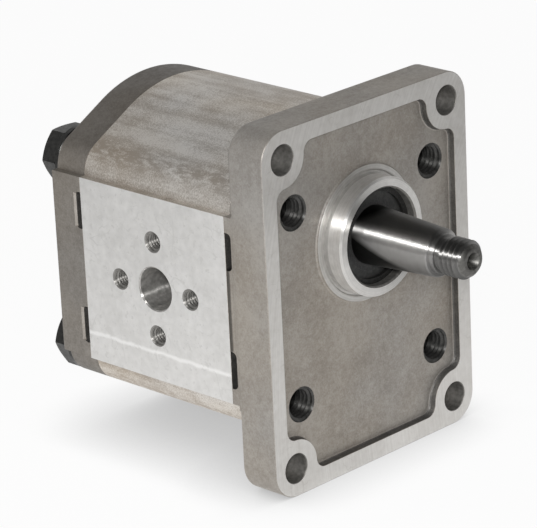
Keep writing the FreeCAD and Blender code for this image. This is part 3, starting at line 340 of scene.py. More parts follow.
def extruded_finish():
    """Extruded aluminium: lengthwise streaks and brown stains, and a darker mottled band where the domes
    end, painted shade of the crease there mixed with stains.
    """
    material, add = new_finish("extruded aluminium")
    streaks = grain(add, 420, 3, (1, 0.02, 1))
    stains = mottled(add, (0.6, 45, 4, (1, 0.5, 1)), (0.4, 230, 4, (1, 0.6, 1)))
    shade = blend(add, (0.2, streaks), (0.45, stains), (0.35, grain(add, 2300, 2)))
    # Painted shade mixed with stains: a mottled darker band along the motor where the domes end.
    patches = spread(add, grain(add, 800, 6, (1, 0.35, 1)), 0.0, -0.17, 0.38, 0.62)
    crease_shade_and_stains = scaled(add, patches, band_at(add, size_of(add, from_middle(add)), DOME_END, 3.2 * MM))
    shade = spread(add, total(add, shade, crease_shade_and_stains), 0, 1, 0.42, 0.57)
    warmth = spread(add, grain(add, 28, 3, (1, 0.5, 1)), 0.9, 2.2)
    colour = toned(add, tint(add, shade, (0.425, 0.389, 0.351), (0.73, 0.704, 0.668)), warmth)
    height = blend(add, (0.3, streaks), (0.6, grain(add, 1700, 3)))
    roughness = spread(add, grain(add, 900, 3), 0.36, 0.46)
    return dressed(material, add, colour, roughness, 0.7, height, 0.035 * MM)


DOME_END = 37.0 * MM
# Each finish has a name, its darkest and its lightest colour.
CAST = cast_finish("cast aluminium", (0.335, 0.305, 0.270), (0.450, 0.420, 0.382))
# The cover's domes get painted shade, down to 0.72 of their brightness.
DARK_CAST = cast_finish("darker cast aluminium", (0.235, 0.212, 0.186), (0.330, 0.306, 0.276), domes=0.72)
# Painted shade: a dark cast finish for the pry slots, the recess walls and the housing's joint face behind
# the slots.
SHADE_PAINTED_CAST = cast_finish("soiled cast aluminium", (0.110, 0.106, 0.100), (0.190, 0.182, 0.172))
EXTRUDED = extruded_finish()
print("finishes:", CAST.name, "|", DARK_CAST.name, "|", SHADE_PAINTED_CAST.name, "|", EXTRUDED.name)

# %% Milled aluminium
def hairlines(add, scale, stretch, width):
    """Thin dark scratches: the places where a stretched noise crosses its middle value."""
    where = spread(add, grain(add, scale * 0.7, 2), 0.0, 1.0, 0.5, 0.62)
    return scaled(add, band_at(add, grain(add, scale, 2, stretch), 0.5, width), where)


def noise_on_path(add, path, width, detail=2):
    """Noise that changes only with one value, such as the distance from an axis."""
    line = add("ShaderNodeCombineXYZ", {0: scaled(add, path, 1 / width)}).outputs["Vector"]
    return add("ShaderNodeTexNoise", {"Vector": line, "Scale": 1.0, "Detail": detail}).outputs["Fac"]


def cutter_arcs(add, width):
    """Uneven arcs about a far centre, as a wide milling cutter leaves them."""
    reach = directed(add, "DISTANCE", place_on(add), CUTTER_CENTRE)
    return spread(add, noise_on_path(add, reach, width, 4), 0, 1)


def about(add, noise, middle):
    """A value that stays close to a middle one."""
    return spread(add, noise, middle * 0.92, middle * 1.08)


def milled_finish(name, dark, light, layers, roughness):
    """Face milled aluminium: stains and hairline scratches, with layers of its own added to them."""
    material, add = new_finish(name)
    stains = mottled(add, (0.5, 70, 4), (0.5, 420, 3))
    shade = blend(add, (0.5, spread(add, stains, 0, 1)), (-0.35, hairlines(add, 130, (1, 0.55, 1), 0.012)),
                  *layers(add))
    return dressed(material, add, tint(add, shade, dark, light), about(add, stains, roughness), 0.75,
                   grain(add, 1900, 2), 0.012 * MM)


def rim_layers(add):
    """Narrow and broad arcs of the cutter, each with its weight."""
    return [(0.3, cutter_arcs(add, 0.8 * MM)), (0.2, cutter_arcs(add, 14 * MM))]


def port_layers(add):
    """A painted highlight, a bright slightly wavy line across the port face, and fine dark lines."""
    # Painted highlight: a lighter line at one height along the whole port face.
    wander = scaled(add, grain(add, 120, 3, (0, 1, 0)), 1.6 * MM)
    painted_highlight = band_at(add, total(add, from_middle(add), wander), HIGHLIGHT_HEIGHT, 0.95 * MM)
    specks = spread(add, grain(add, 700, 2), 0.0, -0.4, 0.62, 0.7)
    return [(1.0, painted_highlight), (-0.4, hairlines(add, 60, (1, 1, 0.4), 0.008)), (1.0, specks)]


CUTTER_CENTRE = (170 * MM, 0, -50 * MM)
# Height of the painted highlight line on the port faces.
HIGHLIGHT_HEIGHT = -19.7 * MM
MILLED = milled_finish("milled rim", (0.56, 0.54, 0.51), (0.78, 0.765, 0.74), rim_layers,
                       roughness=0.40)
PORT_MILLED = milled_finish("milled port face", (0.72, 0.71, 0.69), (0.97, 0.96, 0.945), port_layers,
                            roughness=0.44)
print("finishes:", MILLED.name, "|", PORT_MILLED.name)

# %% [markdown]
# ## Finishes, part three: turned, ground and drilled surfaces
# A lathe tool leaves fine rings round the axis. They draw every highlight out into a line along the
# axis, or on a flat face into a ray from the middle. The Principled shader does this with its
# anisotropy, once its tangent is told which way the line runs.

# %% Turned surfaces
def turned_tangent(add):
    """Direction of a highlight: along the drive shaft, or outwards from it on flat faces."""
    ring = directed(add, "CROSS_PRODUCT", (0, 1, 0), place_on(add))
    normal = add("ShaderNodeNewGeometry").outputs["Normal"]
    return directed(add, "NORMALIZE", directed(add, "CROSS_PRODUCT", normal, ring))


def ring_noise(add, width):
    """Noise that changes only with the distance from the drive shaft's axis and along it."""
    place = place_on(add)
    reach = directed(add, "LENGTH", directed(add, "MULTIPLY", place, (1, 0, 1)))
    return noise_on_path(add, total(add, reach, parts_of(add, place)["Y"]), width)


def shaft_painted_light(add):
    """Painted light and shade on the shaft: a bright line where the lamp's highlight runs, painted dark
    reflection beside it near the seal, above and below it, and darker on the thread.
    """
    parts = parts_of(add, place_on(add))
    # Painted highlight: the colour stays light along the lamp's line, and goes dark beside it near the seal.
    off_the_line = size_of(add, total(add, parts["Z"], -4.2 * MM))
    painted_line = spread(add, blend(add, (1.0, off_the_line), (0.45, parts["Y"])), 1.0, 0.0, 0.3 * MM, 2.5 * MM)
    top = spread(add, parts["Z"], 1.0, 0.4, 4.6 * MM, 6.5 * MM)
    below = spread(add, parts["Z"], 0.32, 1.0, -5.2 * MM, 1.2 * MM)
    thread = spread(add, parts["Y"], 0.6, 1.0, -30.0 * MM, -29.4 * MM)
    return scaled(add, scaled(add, painted_line, top), scaled(add, below, thread))


def turned_finish(name, dark, light, tool_marks, roughness, metallic, anisotropic, painted_light=None):
    """Metal turned about the drive shaft's axis; tool marks have a width and a depth, and painted light and
    shade may darken parts of it.
    """
    material, add = new_finish(name)
    width, depth = tool_marks
    rings = ring_noise(add, width)
    stains = grain(add, 500, 3)
    shade = spread(add, blend(add, (0.6, rings), (0.4, stains)), 0.8 if painted_light else 0, 1)
    if painted_light:
        shade = scaled(add, shade, painted_light(add))
    return dressed(material, add, tint(add, shade, dark, light), about(add, stains, roughness), metallic,
                   rings, depth, turned_tangent(add), anisotropic)


COARSE = (0.45 * MM, 0.012 * MM)
FINE = (0.09 * MM, 0.002 * MM)
TURNED = turned_finish("turned aluminium", (0.66, 0.645, 0.62), (0.86, 0.845, 0.82), COARSE,
                       roughness=0.40, metallic=0.8, anisotropic=0.95)
# The foot's finish is darker; on the relief and the spigot's lowest side that darkness is painted shade.
FOOT = turned_finish("turned foot ring", (0.50, 0.487, 0.465), (0.68, 0.665, 0.64), COARSE,
                     roughness=0.50, metallic=0.8, anisotropic=0.6)
GROUND = turned_finish("ground steel", (0.27, 0.264, 0.254), (0.34, 0.333, 0.322), FINE,
                       roughness=0.40, metallic=1.0, anisotropic=1.0)
# The shaft's front: a painted highlight along the lamp's line and painted dark reflections beside it.
SHAFT_END = turned_finish("oiled ground steel", (0.020, 0.020, 0.019), (0.60, 0.59, 0.575), FINE,
                          roughness=0.38, metallic=1.0, anisotropic=1.0, painted_light=shaft_painted_light)
print("finishes:", TURNED.name, "|", FOOT.name, "|", GROUND.name, "|", SHAFT_END.name)

# %% Drilled and tapped surfaces
def drilled_finish(name, axis, dark, light, roughness, anisotropic):
    """A drilled or reamed wall, with a highlight that runs along the hole."""
    material, add = new_finish(name)
    tangent = add("ShaderNodeCombineXYZ", dict(enumerate(axis))).outputs["Vector"]
    stains = grain(add, 900, 3)
    return dressed(material, add, tint(add, spread(add, stains, 0, 1), dark, light),
                   about(add, stains, roughness), 0.75, stains, 0.006 * MM, tangent, anisotropic)


ALONG, ACROSS = (0, 1, 0), (1, 0, 0)
DRILLED = drilled_finish("drilled along the motor", ALONG, (0.215, 0.207, 0.193), (0.31, 0.299, 0.280),
                         roughness=0.55, anisotropic=0.4)
# Darker inside the tapped holes than on the drilled walls.
TAPPED = drilled_finish("oily tapped hole", ALONG, (0.066, 0.065, 0.062), (0.116, 0.114, 0.109),
                        roughness=0.44, anisotropic=0.85)
CROSS_DRILLED = drilled_finish("drilled from the side", ACROSS, (0.43, 0.42, 0.40), (0.61, 0.595, 0.57),
                               roughness=0.33, anisotropic=0.98)
CROSS_TAPPED = drilled_finish("tapped from the side", ACROSS, (0.28, 0.272, 0.257), (0.40, 0.39, 0.37),
                              roughness=0.45, anisotropic=0.9)
print("finishes:", DRILLED.name, "|", TAPPED.name, "|", CROSS_DRILLED.name, "|", CROSS_TAPPED.name)

# %% Plain finishes: black oxide, rubber, bronze and the rest
def plain_finish(name, dark, light, metallic, roughness, scale, depth=0.01 * MM):
    """A finish with one noise in its colour, its roughness and its bump."""
    material, add = new_finish(name)
    noise = grain(add, scale, 3)
    return dressed(material, add, tint(add, spread(add, noise, 0, 1), dark, light),
                   spread(add, noise, roughness * 1.12, roughness * 0.9), metallic, noise, depth)


# Name, darkest and lightest colour, metallic, roughness, waves per metre, and a depth if it is deep.
BLACK = plain_finish("black oxide", (0.044, 0.044, 0.042), (0.070, 0.069, 0.066), 0.9, 0.34, 900)
RUBBER = plain_finish("nitrile rubber", (0.018, 0.018, 0.018), (0.034, 0.034, 0.033), 0.0, 0.6, 1500,
                      0.02 * MM)
COATED = plain_finish("black coated case", (0.021, 0.021, 0.020), (0.042, 0.042, 0.040), 0.1, 0.5, 800)
PHOSPHATED = plain_finish("black phosphated steel", (0.012, 0.012, 0.011), (0.030, 0.029, 0.027), 0.3, 0.55,
                          1600, 0.02 * MM)
FACED = plain_finish("faced steel", (0.13, 0.127, 0.120), (0.20, 0.196, 0.186), 1.0, 0.42, 900)
BRONZE = plain_finish("bearing bronze", (0.42, 0.27, 0.14), (0.58, 0.40, 0.23), 1.0, 0.35, 600)
BEARING = plain_finish("bearing aluminium", (0.50, 0.49, 0.475), (0.64, 0.63, 0.61), 0.9, 0.38, 700)
KEY_STEEL = plain_finish("drawn key steel", (0.33, 0.32, 0.31), (0.47, 0.46, 0.44), 1.0, 0.36, 900)
PLASTIC = plain_finish("backup ring plastic", (0.70, 0.67, 0.60), (0.80, 0.78, 0.72), 0.0, 0.5, 700)
print("finishes:", len(bpy.data.materials), "so far")

# %% [markdown]
# ## Meshes from outlines
# Most of the motor is an outline pushed along its axis, or a profile turned about one. So two
# helpers make nearly all of it. A slab stacks copies of an outline, each a little smaller or larger,
# which rounds an edge by construction and never fails as a bevel can. A lathe turns a profile.

# %% Outline helpers
def arc(centre, radius, start, end, step=4.0):
    """Points along an arc, from one angle to another in degrees."""
    count = max(2, math.ceil(abs(end - start) / step))
    turns = [math.radians(start + (end - start) * index / count) for index in range(count + 1)]
    return [(centre[0] + radius * math.cos(turn), centre[1] + radius * math.sin(turn)) for turn in turns]


def inset(points, depth):
    """The outline moved inwards by a depth, its corners mitred; a negative depth moves it outwards."""
    moved = []
    for index, here in enumerate(points):
        here = Vector(here)
        arriving = (here - Vector(points[index - 1])).normalized()
        leaving = (Vector(points[(index + 1) % len(points)]) - here).normalized()
        inwards = Vector((-arriving.y - leaving.y, arriving.x + leaving.x)).normalized()
        mitre = max(inwards.dot(Vector((-arriving.y, arriving.x))), 0.3)
        moved.append(here + inwards * depth / mitre)
    return moved


def without_repeats(points):
    """The outline with points that fall together left out."""
    kept = []
    for point in points:
        if not kept or (Vector(point) - Vector(kept[-1])).length > SAME_PLACE:
            kept.append(point)
    if (Vector(kept[0]) - Vector(kept[-1])).length <= SAME_PLACE:
        kept.pop()
    return kept


def rounding(station, radius, towards, depth=0.0, steps=5):
    """Levels (station, inset) that round an edge: towards is 1 at a high end and -1 at a low end."""
    levels = []
    for index in range(steps + 1):
        turn = math.pi / 2 * index / steps
        levels.append((station + towards * radius * (math.sin(turn) - 1),
                       depth + radius * (1 - math.cos(turn))))
    return levels if towards > 0 else levels[::-1]


print("a quarter turn:", len(arc((0, 0), 1, 0, 90)), "points; a rounding:", len(rounding(0, 1, 1)), "levels")

# %% Slab and lathe
def finished_object(name, shape, material):
    """A mesh object from a bmesh, with outward normals and one material."""
    bmesh.ops.recalc_face_normals(shape, faces=shape.faces)
    mesh = bpy.data.meshes.new(name)
    shape.to_mesh(mesh)
    shape.free()
    mesh.materials.append(material)
    return placed(name, mesh)


def closed_mesh(name, rings, material, along, centre):
    """A solid through rings (station, points) along an axis; a ring of one point is a tip."""
    shape = bmesh.new()
    loops = []
    for station, points in rings:
        loop = []
        for point in points:
            spot = list(point)
            spot.insert("XYZ".index(along), station)
            loop.append(shape.verts.new(Vector(spot) + Vector(centre)))
        loops.append(loop)
    for low, high in zip(loops, loops[1:]):
        count = max(len(low), len(high))
        for here in range(count):
            after = (here + 1) % count
            corners = (low[here % len(low)], low[after % len(low)], high[after % len(high)],
                       high[here % len(high)])
            shape.faces.new(list(dict.fromkeys(corners)))
    for loop in (loops[0], loops[-1]):
        if len(loop) > 1:
            shape.faces.new(loop)
    return finished_object(name, shape, material)


def slab(name, outline, levels, material, along="Y", middle=MIDDLE):
    """An outline stacked through levels (station, inset) and closed at both ends."""
    rings = [(station, inset(outline, depth) if depth else outline) for station, depth in levels]
    return closed_mesh(name, rings, material, along, (0, 0, middle))


def lathe(name, profile, material, centre=(0, 0, 0), along="Y", segments=128):
    """A profile of (radius, station) turned about an axis. It starts and ends on the axis."""
    turns = [2 * math.pi * index / segments for index in range(segments)]
    rings = []
    for radius, station in profile:
        circle = [(radius * math.cos(turn), radius * math.sin(turn)) for turn in turns]
        rings.append((station, circle if radius else [(0, 0)]))
    return closed_mesh(name, rings, material, along, centre)


print("helpers: slab, lathe")

# %% Cutting and smoothing
def settled(body):
    """Makes what the modifiers show of a body its plain mesh."""
    mesh = bpy.data.meshes.new_from_object(body.evaluated_get(bpy.context.evaluated_depsgraph_get()))
    body.modifiers.clear()
    mesh.name = body.name
    body.data = mesh
    return body


def smoothed(body, sharp=32.0):
    """Smooth shading with sharp edges kept, and wide flat faces kept flat."""
    body.data.shade_smooth()
    body.data.set_sharp_from_angle(angle=math.radians(sharp))
    body.modifiers.new("weigh", "WEIGHTED_NORMAL").keep_sharp = True
    return settled(body)


def carved(body, cuts=(), joins=(), keeps=()):
    """Trims a body to what it shares with some tools, joins others to it and cuts the rest from it."""
    for tools, operation in ((keeps, "INTERSECT"), (joins, "UNION"), (cuts, "DIFFERENCE")):
        for tool in tools:
            step = body.modifiers.new(operation.lower(), "BOOLEAN")
            step.object = tool
            step.operation = operation
            step.solver = "EXACT"
            step.material_mode = "TRANSFER"
    settled(body)
    for tool in (*keeps, *joins, *cuts):
        bpy.data.objects.remove(tool)
    return smoothed(body)


print("helpers: settled, smoothed, carved")

# %% [markdown]
# ## The housing's outline
# The housing is drawn from the outside in: two wide domes over the two gears, a round corner
# about each bolt, and flat port faces that stand a little proud of the corners. Each straight
# between a dome and a corner is tangent to both, so its angle follows from their radii.

# %% Housing outline
DOME = 44.7 * MM
LIFT = (housing_high.z - housing_low.z) / 2 - DOME
CORNER = 10.1 * MM
WAIST = 40.8 * MM
LEDGE = 29.4 * MM


def housing_outline():
    """Anticlockwise outline about the middle of the motor."""
    middle = Vector((WAIST - CORNER, LEDGE - LIFT))
    slope = math.degrees(math.atan2(middle.y, middle.x) + math.acos((DOME - CORNER) / middle.length))
    centres = {(side, end): (side * (WAIST - CORNER), end * LEDGE) for side, end in QUARTERS}
    points = [(PORT_FACE, -LEDGE), (PORT_FACE, LEDGE)]
    points += arc(centres[1, 1], CORNER, 0, slope)
    points += arc((0, LIFT), DOME, slope, 180 - slope, 1.5)
    points += arc(centres[-1, 1], CORNER, 180 - slope, 180)
    points += [(-PORT_FACE, LEDGE), (-PORT_FACE, -LEDGE)]
    points += arc(centres[-1, -1], CORNER, 180, 180 + slope)
    points += arc((0, -LIFT), DOME, 180 + slope, 360 - slope, 1.5)
    points += arc(centres[1, -1], CORNER, 360 - slope, 360)
    return without_repeats(points)


HOUSING_OUTLINE = housing_outline()
print("housing outline:", len(HOUSING_OUTLINE), "points")

# %% [markdown]
# ## The flange's outlines
# The plate is a rectangle with round corners. The recess inside its rim bends round a pad at each
# mounting hole, and small fillets lead from the pads into the rim. The fillet's centre lies where
# it touches the wall and the pad at once.

# %% Plate and recess outlines
def plate_outline():
    """A rectangle with round corners, anticlockwise about the middle."""
    points = []
    for index, (side, end) in enumerate(QUARTERS):
        centre = (side * (PLATE_WIDTH / 2 - PLATE_CORNER), end * (PLATE_HEIGHT / 2 - PLATE_CORNER))
        points += arc(centre, PLATE_CORNER, 90 * index, 90 * (index + 1))
    return points


def recess_quarter():
    """The recess round the pad at the upper right, from the side wall to the end wall."""
    side_wall = PLATE_WIDTH / 2 - RIM_WIDTH
    end_wall = PLATE_HEIGHT / 2 - RIM_WIDTH
    reach = PAD_RADIUS + PAD_FILLET
    low = Vector((side_wall - PAD_FILLET,
                  MOUNT_Z - math.sqrt(reach ** 2 - (side_wall - PAD_FILLET - MOUNT_X) ** 2)))
    high = Vector((MOUNT_X - math.sqrt(reach ** 2 - (end_wall - PAD_FILLET - MOUNT_Z) ** 2),
                   end_wall - PAD_FILLET))
    pad = Vector((MOUNT_X, MOUNT_Z))
    to_low = math.degrees(math.atan2(*(pad - low).yx))
    to_high = math.degrees(math.atan2(*(pad - high).yx))
    points = arc(low, PAD_FILLET, 0, to_low, 8)
    points += arc(pad, PAD_RADIUS, to_low + 180, to_high + 180)
    return points + arc(high, PAD_FILLET, to_high, 90, 8)


def recess_outline():
    """The whole recess, its other quarters mirrored from the first."""
    quarter = recess_quarter()
    points = []
    for side, end in QUARTERS:
        mirrored = [(side * across, end * height) for across, height in quarter]
        points += mirrored if side * end > 0 else mirrored[::-1]
    return without_repeats(points)


print("recess outline:", len(recess_outline()), "points")

# %% [markdown]
# ## The front flange
# One casting: a thick plate, a rim that is machined flat, four pads, and the spigot that centres the motor.
# It is built as the foundry and the machine shop would: the rough body first, then the cuts. Each cutting
# piece carries the finish that its tool would leave behind, except the pry slots, whose walls carry painted
# shade.

# %% Flange body
def edge_break(station, size, towards):
    """Levels for a small chamfer at one end of a slab."""
    levels = [(station - towards * size, 0.0), (station, size)]
    return levels if towards > 0 else levels[::-1]


def flange_body():
    """The plate with its soft back edge."""
    levels = edge_break(0.0, 0.22 * MM, -1) + rounding(PLATE_BACK, 1.2 * MM, 1, steps=6)
    return slab("front flange", plate_outline(), levels, CAST)


def flange_neck():
    """The stretch that meets the housing, with a fillet where it leaves the plate."""
    fillet = 1.0 * MM
    levels = [(PLATE_BACK - 2 * MM, -fillet)]
    for index in range(6):
        turn = math.pi / 2 * index / 5
        levels.append((PLATE_BACK + fillet * (1 - math.cos(turn)), -fillet * (1 - math.sin(turn))))
    return slab("neck", HOUSING_OUTLINE, levels + edge_break(FRONT_JOINT, 0.15 * MM, 1), CAST)


def spigot():
    """The turned ring at the spigot's foot, its relief and the spigot itself."""
    top = RECESS - 0.9 * MM
    floor = top + 0.5 * MM
    relief = PILOT + 1.1 * MM
    chamfer = 0.6 * MM
    # The point 1.2 mm below the top splits the spigot's side, so its lowest part can take the foot's finish
    # as painted shade.
    profile = [(0, 4 * MM), (22.6 * MM, 4 * MM), (22.2 * MM, 2.5 * MM), (21.5 * MM, 2.27 * MM),
               (21.15 * MM, 2.1 * MM), (FOOT_RING, 1.85 * MM), (FOOT_RING, top + 0.12 * MM),
               (FOOT_RING - 0.12 * MM, top), (relief + 0.06 * MM, top), (relief, top + 0.06 * MM),
               (relief - 0.4 * MM, floor), (PILOT - 0.2 * MM, floor), (PILOT - 0.2 * MM, top + 0.2 * MM),
               (PILOT, top), (PILOT, top - 1.2 * MM), (PILOT, SPIGOT_FACE + chamfer),
               (PILOT - chamfer, SPIGOT_FACE), (0, SPIGOT_FACE)]
    return lathe("spigot", profile, TURNED, segments=192)


print("spigot:", round((FRONT_JOINT - SPIGOT_FACE) / MM, 1), "mm from its face to the joint")

# %% Flange cuts
def recess_cut():
    """The cast recess, soft at its floor and crisp at the machined rim."""
    levels = [(-1 * MM, -0.1 * MM), (0.0, -0.1 * MM), (0.1 * MM, 0.0)]
    levels += rounding(RECESS, 0.8 * MM, 1, 0.08 * MM)
    return slab("recess", recess_outline(), levels, CAST)


def shaft_bore_cut():
    """The stepped bore for the retaining ring, the seal and the shaft."""
    bore, groove = 15.0 * MM, 15.8 * MM
    ring_low, ring_high = stations("seal_retaining_ring")
    shoulder = stations("shaft_seal_case")[1] + 0.02 * MM
    profile = [(0, SPIGOT_FACE - MM), (bore + 1.5 * MM, SPIGOT_FACE - MM), (bore, SPIGOT_FACE + 0.5 * MM),
               (bore, ring_low), (groove, ring_low), (groove, ring_high), (bore, ring_high),
               (bore, shoulder), (SHAFT_ROOM, shoulder), (SHAFT_ROOM, FRONT_JOINT + MM),
               (0, FRONT_JOINT + MM)]
    return lathe("bore", profile, DRILLED, segments=192)


def plain_hole(name, centre, radius, low, high, material, segments=64, chamfer=0.0, back_chamfer=0.0):
    """A cutter for a hole through two faces, with a chamfer at each where one is asked for."""
    low_end, high_end = low - MM, high + MM
    profile = [(0, low_end), (radius, low_end)]
    if chamfer:
        profile = [(0, low_end), (radius + chamfer + MM, low_end), (radius, low + chamfer)]
    if back_chamfer:
        profile += [(radius, high - back_chamfer), (radius + back_chamfer + MM, high_end)]
    else:
        profile.append((radius, high_end))
    return lathe(name, profile + [(0, high_end)], material, centre, segments=segments)


def pry_slots(near, far, material):
    """Four slots beside a joint, open to the port faces and round at the two corners far from it."""
    depth, round_by = 5.5 * MM, 1.6 * MM
    outward = 1 if near > far else -1
    points = [(near + outward * MM, SLOT_LOW), (near + outward * MM, SLOT_HIGH)]
    for corner, height in enumerate((SLOT_HIGH - round_by, SLOT_LOW + round_by)):
        start = 90 + 90 * outward * corner
        points += arc((far + outward * round_by, height), round_by, start, start + 90 * outward, 15)
    cuts = []
    for side, end in QUARTERS:
        outline = [(along, end * height) for along, height in points]
        levels = [(side * (PORT_FACE - depth), 0.0), (side * (PORT_FACE + 2 * MM), 0.0)]
        cuts.append(slab("slot", outline, levels, material, along="X"))
    return cuts


def make_flange():
    """The whole front flange."""
    body = carved(flange_body(), cuts=[recess_cut()], joins=[flange_neck()])
    # The slot cutters give the slots' walls painted shade.
    cuts = [shaft_bore_cut()] + pry_slots(FRONT_JOINT, FRONT_JOINT - SLOT_WIDTH, SHADE_PAINTED_CAST)
    for centre in MOUNT_PLACES:
        cuts.append(plain_hole("mounting hole", centre, MOUNT_HOLE, 0.0, PLATE_BACK, DRILLED,
                               chamfer=0.2 * MM, back_chamfer=0.2 * MM))
    for centre in BOLT_PLACES:
        cuts.append(plain_hole("tapped hole", centre, TAP_HOLE, RECESS, FRONT_JOINT, TAPPED,
                               chamfer=0.5 * MM))
    return carved(body, cuts=cuts, joins=[spigot()])


print("flange:", len(MOUNT_PLACES), "mounting holes and", len(BOLT_PLACES), "tapped holes")

# %% Finishes of single faces
def painted(body, material, belongs):
    """Gives a finish to the faces that pass a test, and returns how many there are."""
    body.data.materials.append(material)
    index = len(body.data.materials) - 1
    chosen = [face for face in body.data.polygons if belongs(face)]
    for face in chosen:
        face.material_index = index
    return len(chosen)


def from_shaft(face):
    """Distance of a face from the drive shaft's axis."""
    return math.hypot(face.center.x, face.center.z)


def on_rim(face):
    """The machined rim and pads, in the mounting plane."""
    return abs(face.center.y) < CLOSE and abs(face.normal.y) > 0.99 and face.center.length > PILOT


def on_shaded_recess_wall(face):
    """The recess's steep walls, which get painted shade."""
    inside = (abs(face.center.x) < PLATE_WIDTH / 2 - RIM_WIDTH + CLOSE
              and abs(face.center.z - MIDDLE) < PLATE_HEIGHT / 2 - RIM_WIDTH + CLOSE
              and from_shaft(face) > 23 * MM)
    steep = abs(face.normal.y) < 0.75 and 0.1 * MM < face.center.y < RECESS - 0.1 * MM
    nearest_hole = min((face.center - hole).length for hole in MOUNT_PLACES)
    return inside and steep and nearest_hole > MOUNT_HOLE + 0.5 * MM


def on_foot(face):
    """The flat ring and the relief round the foot of the spigot, and the lowest 1.2 mm of its side: a duller
    turned finish, whose darkness on the relief and the side is painted shade.
    """
    return PILOT - 0.3 * MM < from_shaft(face) < FOOT_RING and 0.5 * MM < face.center.y < 2.0 * MM


def on_foot_fillet(face):
    """The cast fillet round the foot ring."""
    return FOOT_RING - CLOSE < from_shaft(face) < 22.7 * MM and face.center.y > 1.5 * MM


flange = make_flange()
for finish, belongs in ((MILLED, on_rim), (FOOT, on_foot), (CAST, on_foot_fillet), (SHADE_PAINTED_CAST, on_shaded_recess_wall)):
    print(painted(flange, finish, belongs), "faces get the finish", finish.name)
print("flange:", len(flange.data.polygons), "faces")

# %% [markdown]
# ## The gear housing
# The housing is a length of extrusion, so it is the outline and nothing else until it is drilled.
# The gears run in a figure-eight chamber. Each port is drilled from its own face, and its four
# tapped holes are cut the same way. The port faces are milled, which is a matter of finish alone.

# %% Housing
CHAMBER = 18.08 * MM
PORT_DEPTH = 25.8 * MM
PASSAGE, PASSAGE_REACH = 6.0 * MM, 20.0 * MM
SCREW_HOLE, SCREW_DEPTH, DRILL_TIP = 3.0 * MM, 13.0 * MM, 1.7 * MM
PORT_MIDDLE = Vector((0, PORT_STATION, MIDDLE))
SCREW_PLACES = [PORT_MIDDLE + SCREW_CIRCLE * Vector(way)
                for way in ((0, 0, 1), (0, 0, -1), (0, 1, 0), (0, -1, 0))]


def figure_eight(radius):
    """Outline of two overlapping circles, one about each shaft."""
    half = -MIDDLE
    waist = math.degrees(math.asin(half / radius))
    upper = arc((0, half), radius, -waist, 180 + waist, 3)
    lower = arc((0, -half), radius, 180 - waist, 360 + waist, 3)
    return without_repeats(upper + lower)


def side_hole(name, side, centre, radius, depth, tip, segments, finish):
    """A cutter for a hole drilled from one port face, with a chamfer."""
    face, chamfer = side * PORT_FACE, 0.4 * MM
    profile = [(0, face + side * MM), (radius + chamfer + MM, face + side * MM),
               (radius, face - side * chamfer), (radius, face - side * depth),
               (0, face - side * (depth + tip))]
    return lathe(name, profile, finish, centre, "X", segments)


def make_housing():
    """The whole gear housing."""
    levels = edge_break(FRONT_JOINT, 0.05 * MM, -1) + edge_break(REAR_JOINT, 0.08 * MM, 1)
    body = slab("gear housing", HOUSING_OUTLINE, levels, EXTRUDED)
    ends = [(FRONT_JOINT - MM, 0.0), (REAR_JOINT + MM, 0.0)]
    cuts = [slab("gear chamber", figure_eight(CHAMBER), ends, DRILLED)]
    passage = [(0, -PASSAGE_REACH), (PASSAGE, -PASSAGE_REACH), (PASSAGE, PASSAGE_REACH), (0, PASSAGE_REACH)]
    cuts.append(lathe("port passage", passage, CROSS_DRILLED, PORT_MIDDLE, "X", 64))
    for side in (1, -1):
        cuts.append(side_hole("port", side, PORT_MIDDLE, PORT_RADIUS, PORT_DEPTH, 0.0, 96, CROSS_DRILLED))
        for place in SCREW_PLACES:
            cuts.append(side_hole("port screw hole", side, place, SCREW_HOLE, SCREW_DEPTH, DRILL_TIP, 48,
                                  CROSS_TAPPED))
    for centre in BOLT_PLACES:
        cuts.append(plain_hole("bolt hole", centre, BOLT_HOLE, FRONT_JOINT, REAR_JOINT, DRILLED, 48))
    return carved(body, cuts=cuts)


def on_port_face(face):
    """The two flat faces that the pipes are screwed to."""
    return abs(face.center.x) > PORT_FACE - CLOSE and abs(face.normal.x) > 0.99


def on_front_joint(face):
    """The joint face at the flange, which shows only through the slots and gets painted shade there."""
    return abs(face.center.y - FRONT_JOINT) < CLOSE and face.normal.y < -0.99


housing = make_housing()
milled = painted(housing, PORT_MILLED, on_port_face)
painted_shade = painted(housing, SHADE_PAINTED_CAST, on_front_joint)
print("housing:", len(housing.data.polygons), "faces,", milled, "milled,", painted_shade, "painted_shade")

# %% [markdown]
# ## The rear cover
# The cover closes the housing with the same outline. It is cast, soft at its back edge, and has
# the same pry slots as the flange. A tapped hole in the middle of its back drains the shaft seal.

# %% Rear cover
def slot_bevels(far, size):
    """A bevel along the outer edge of each slot, on the side away from the joint."""
    cuts = []
    for side, end in QUARTERS:
        inner, outer = side * (PORT_FACE - size), side * (PORT_FACE + size)
        outline = [(inner, far), (outer, far + 2 * size), (outer, far - size), (inner, far - size)]
        levels = [(end * (SLOT_LOW + 0.5 * MM), 0.0), (end * (SLOT_HIGH - 0.5 * MM), 0.0)]
        cuts.append(slab("bevel", outline, levels, CAST, along="Z"))
    return cuts


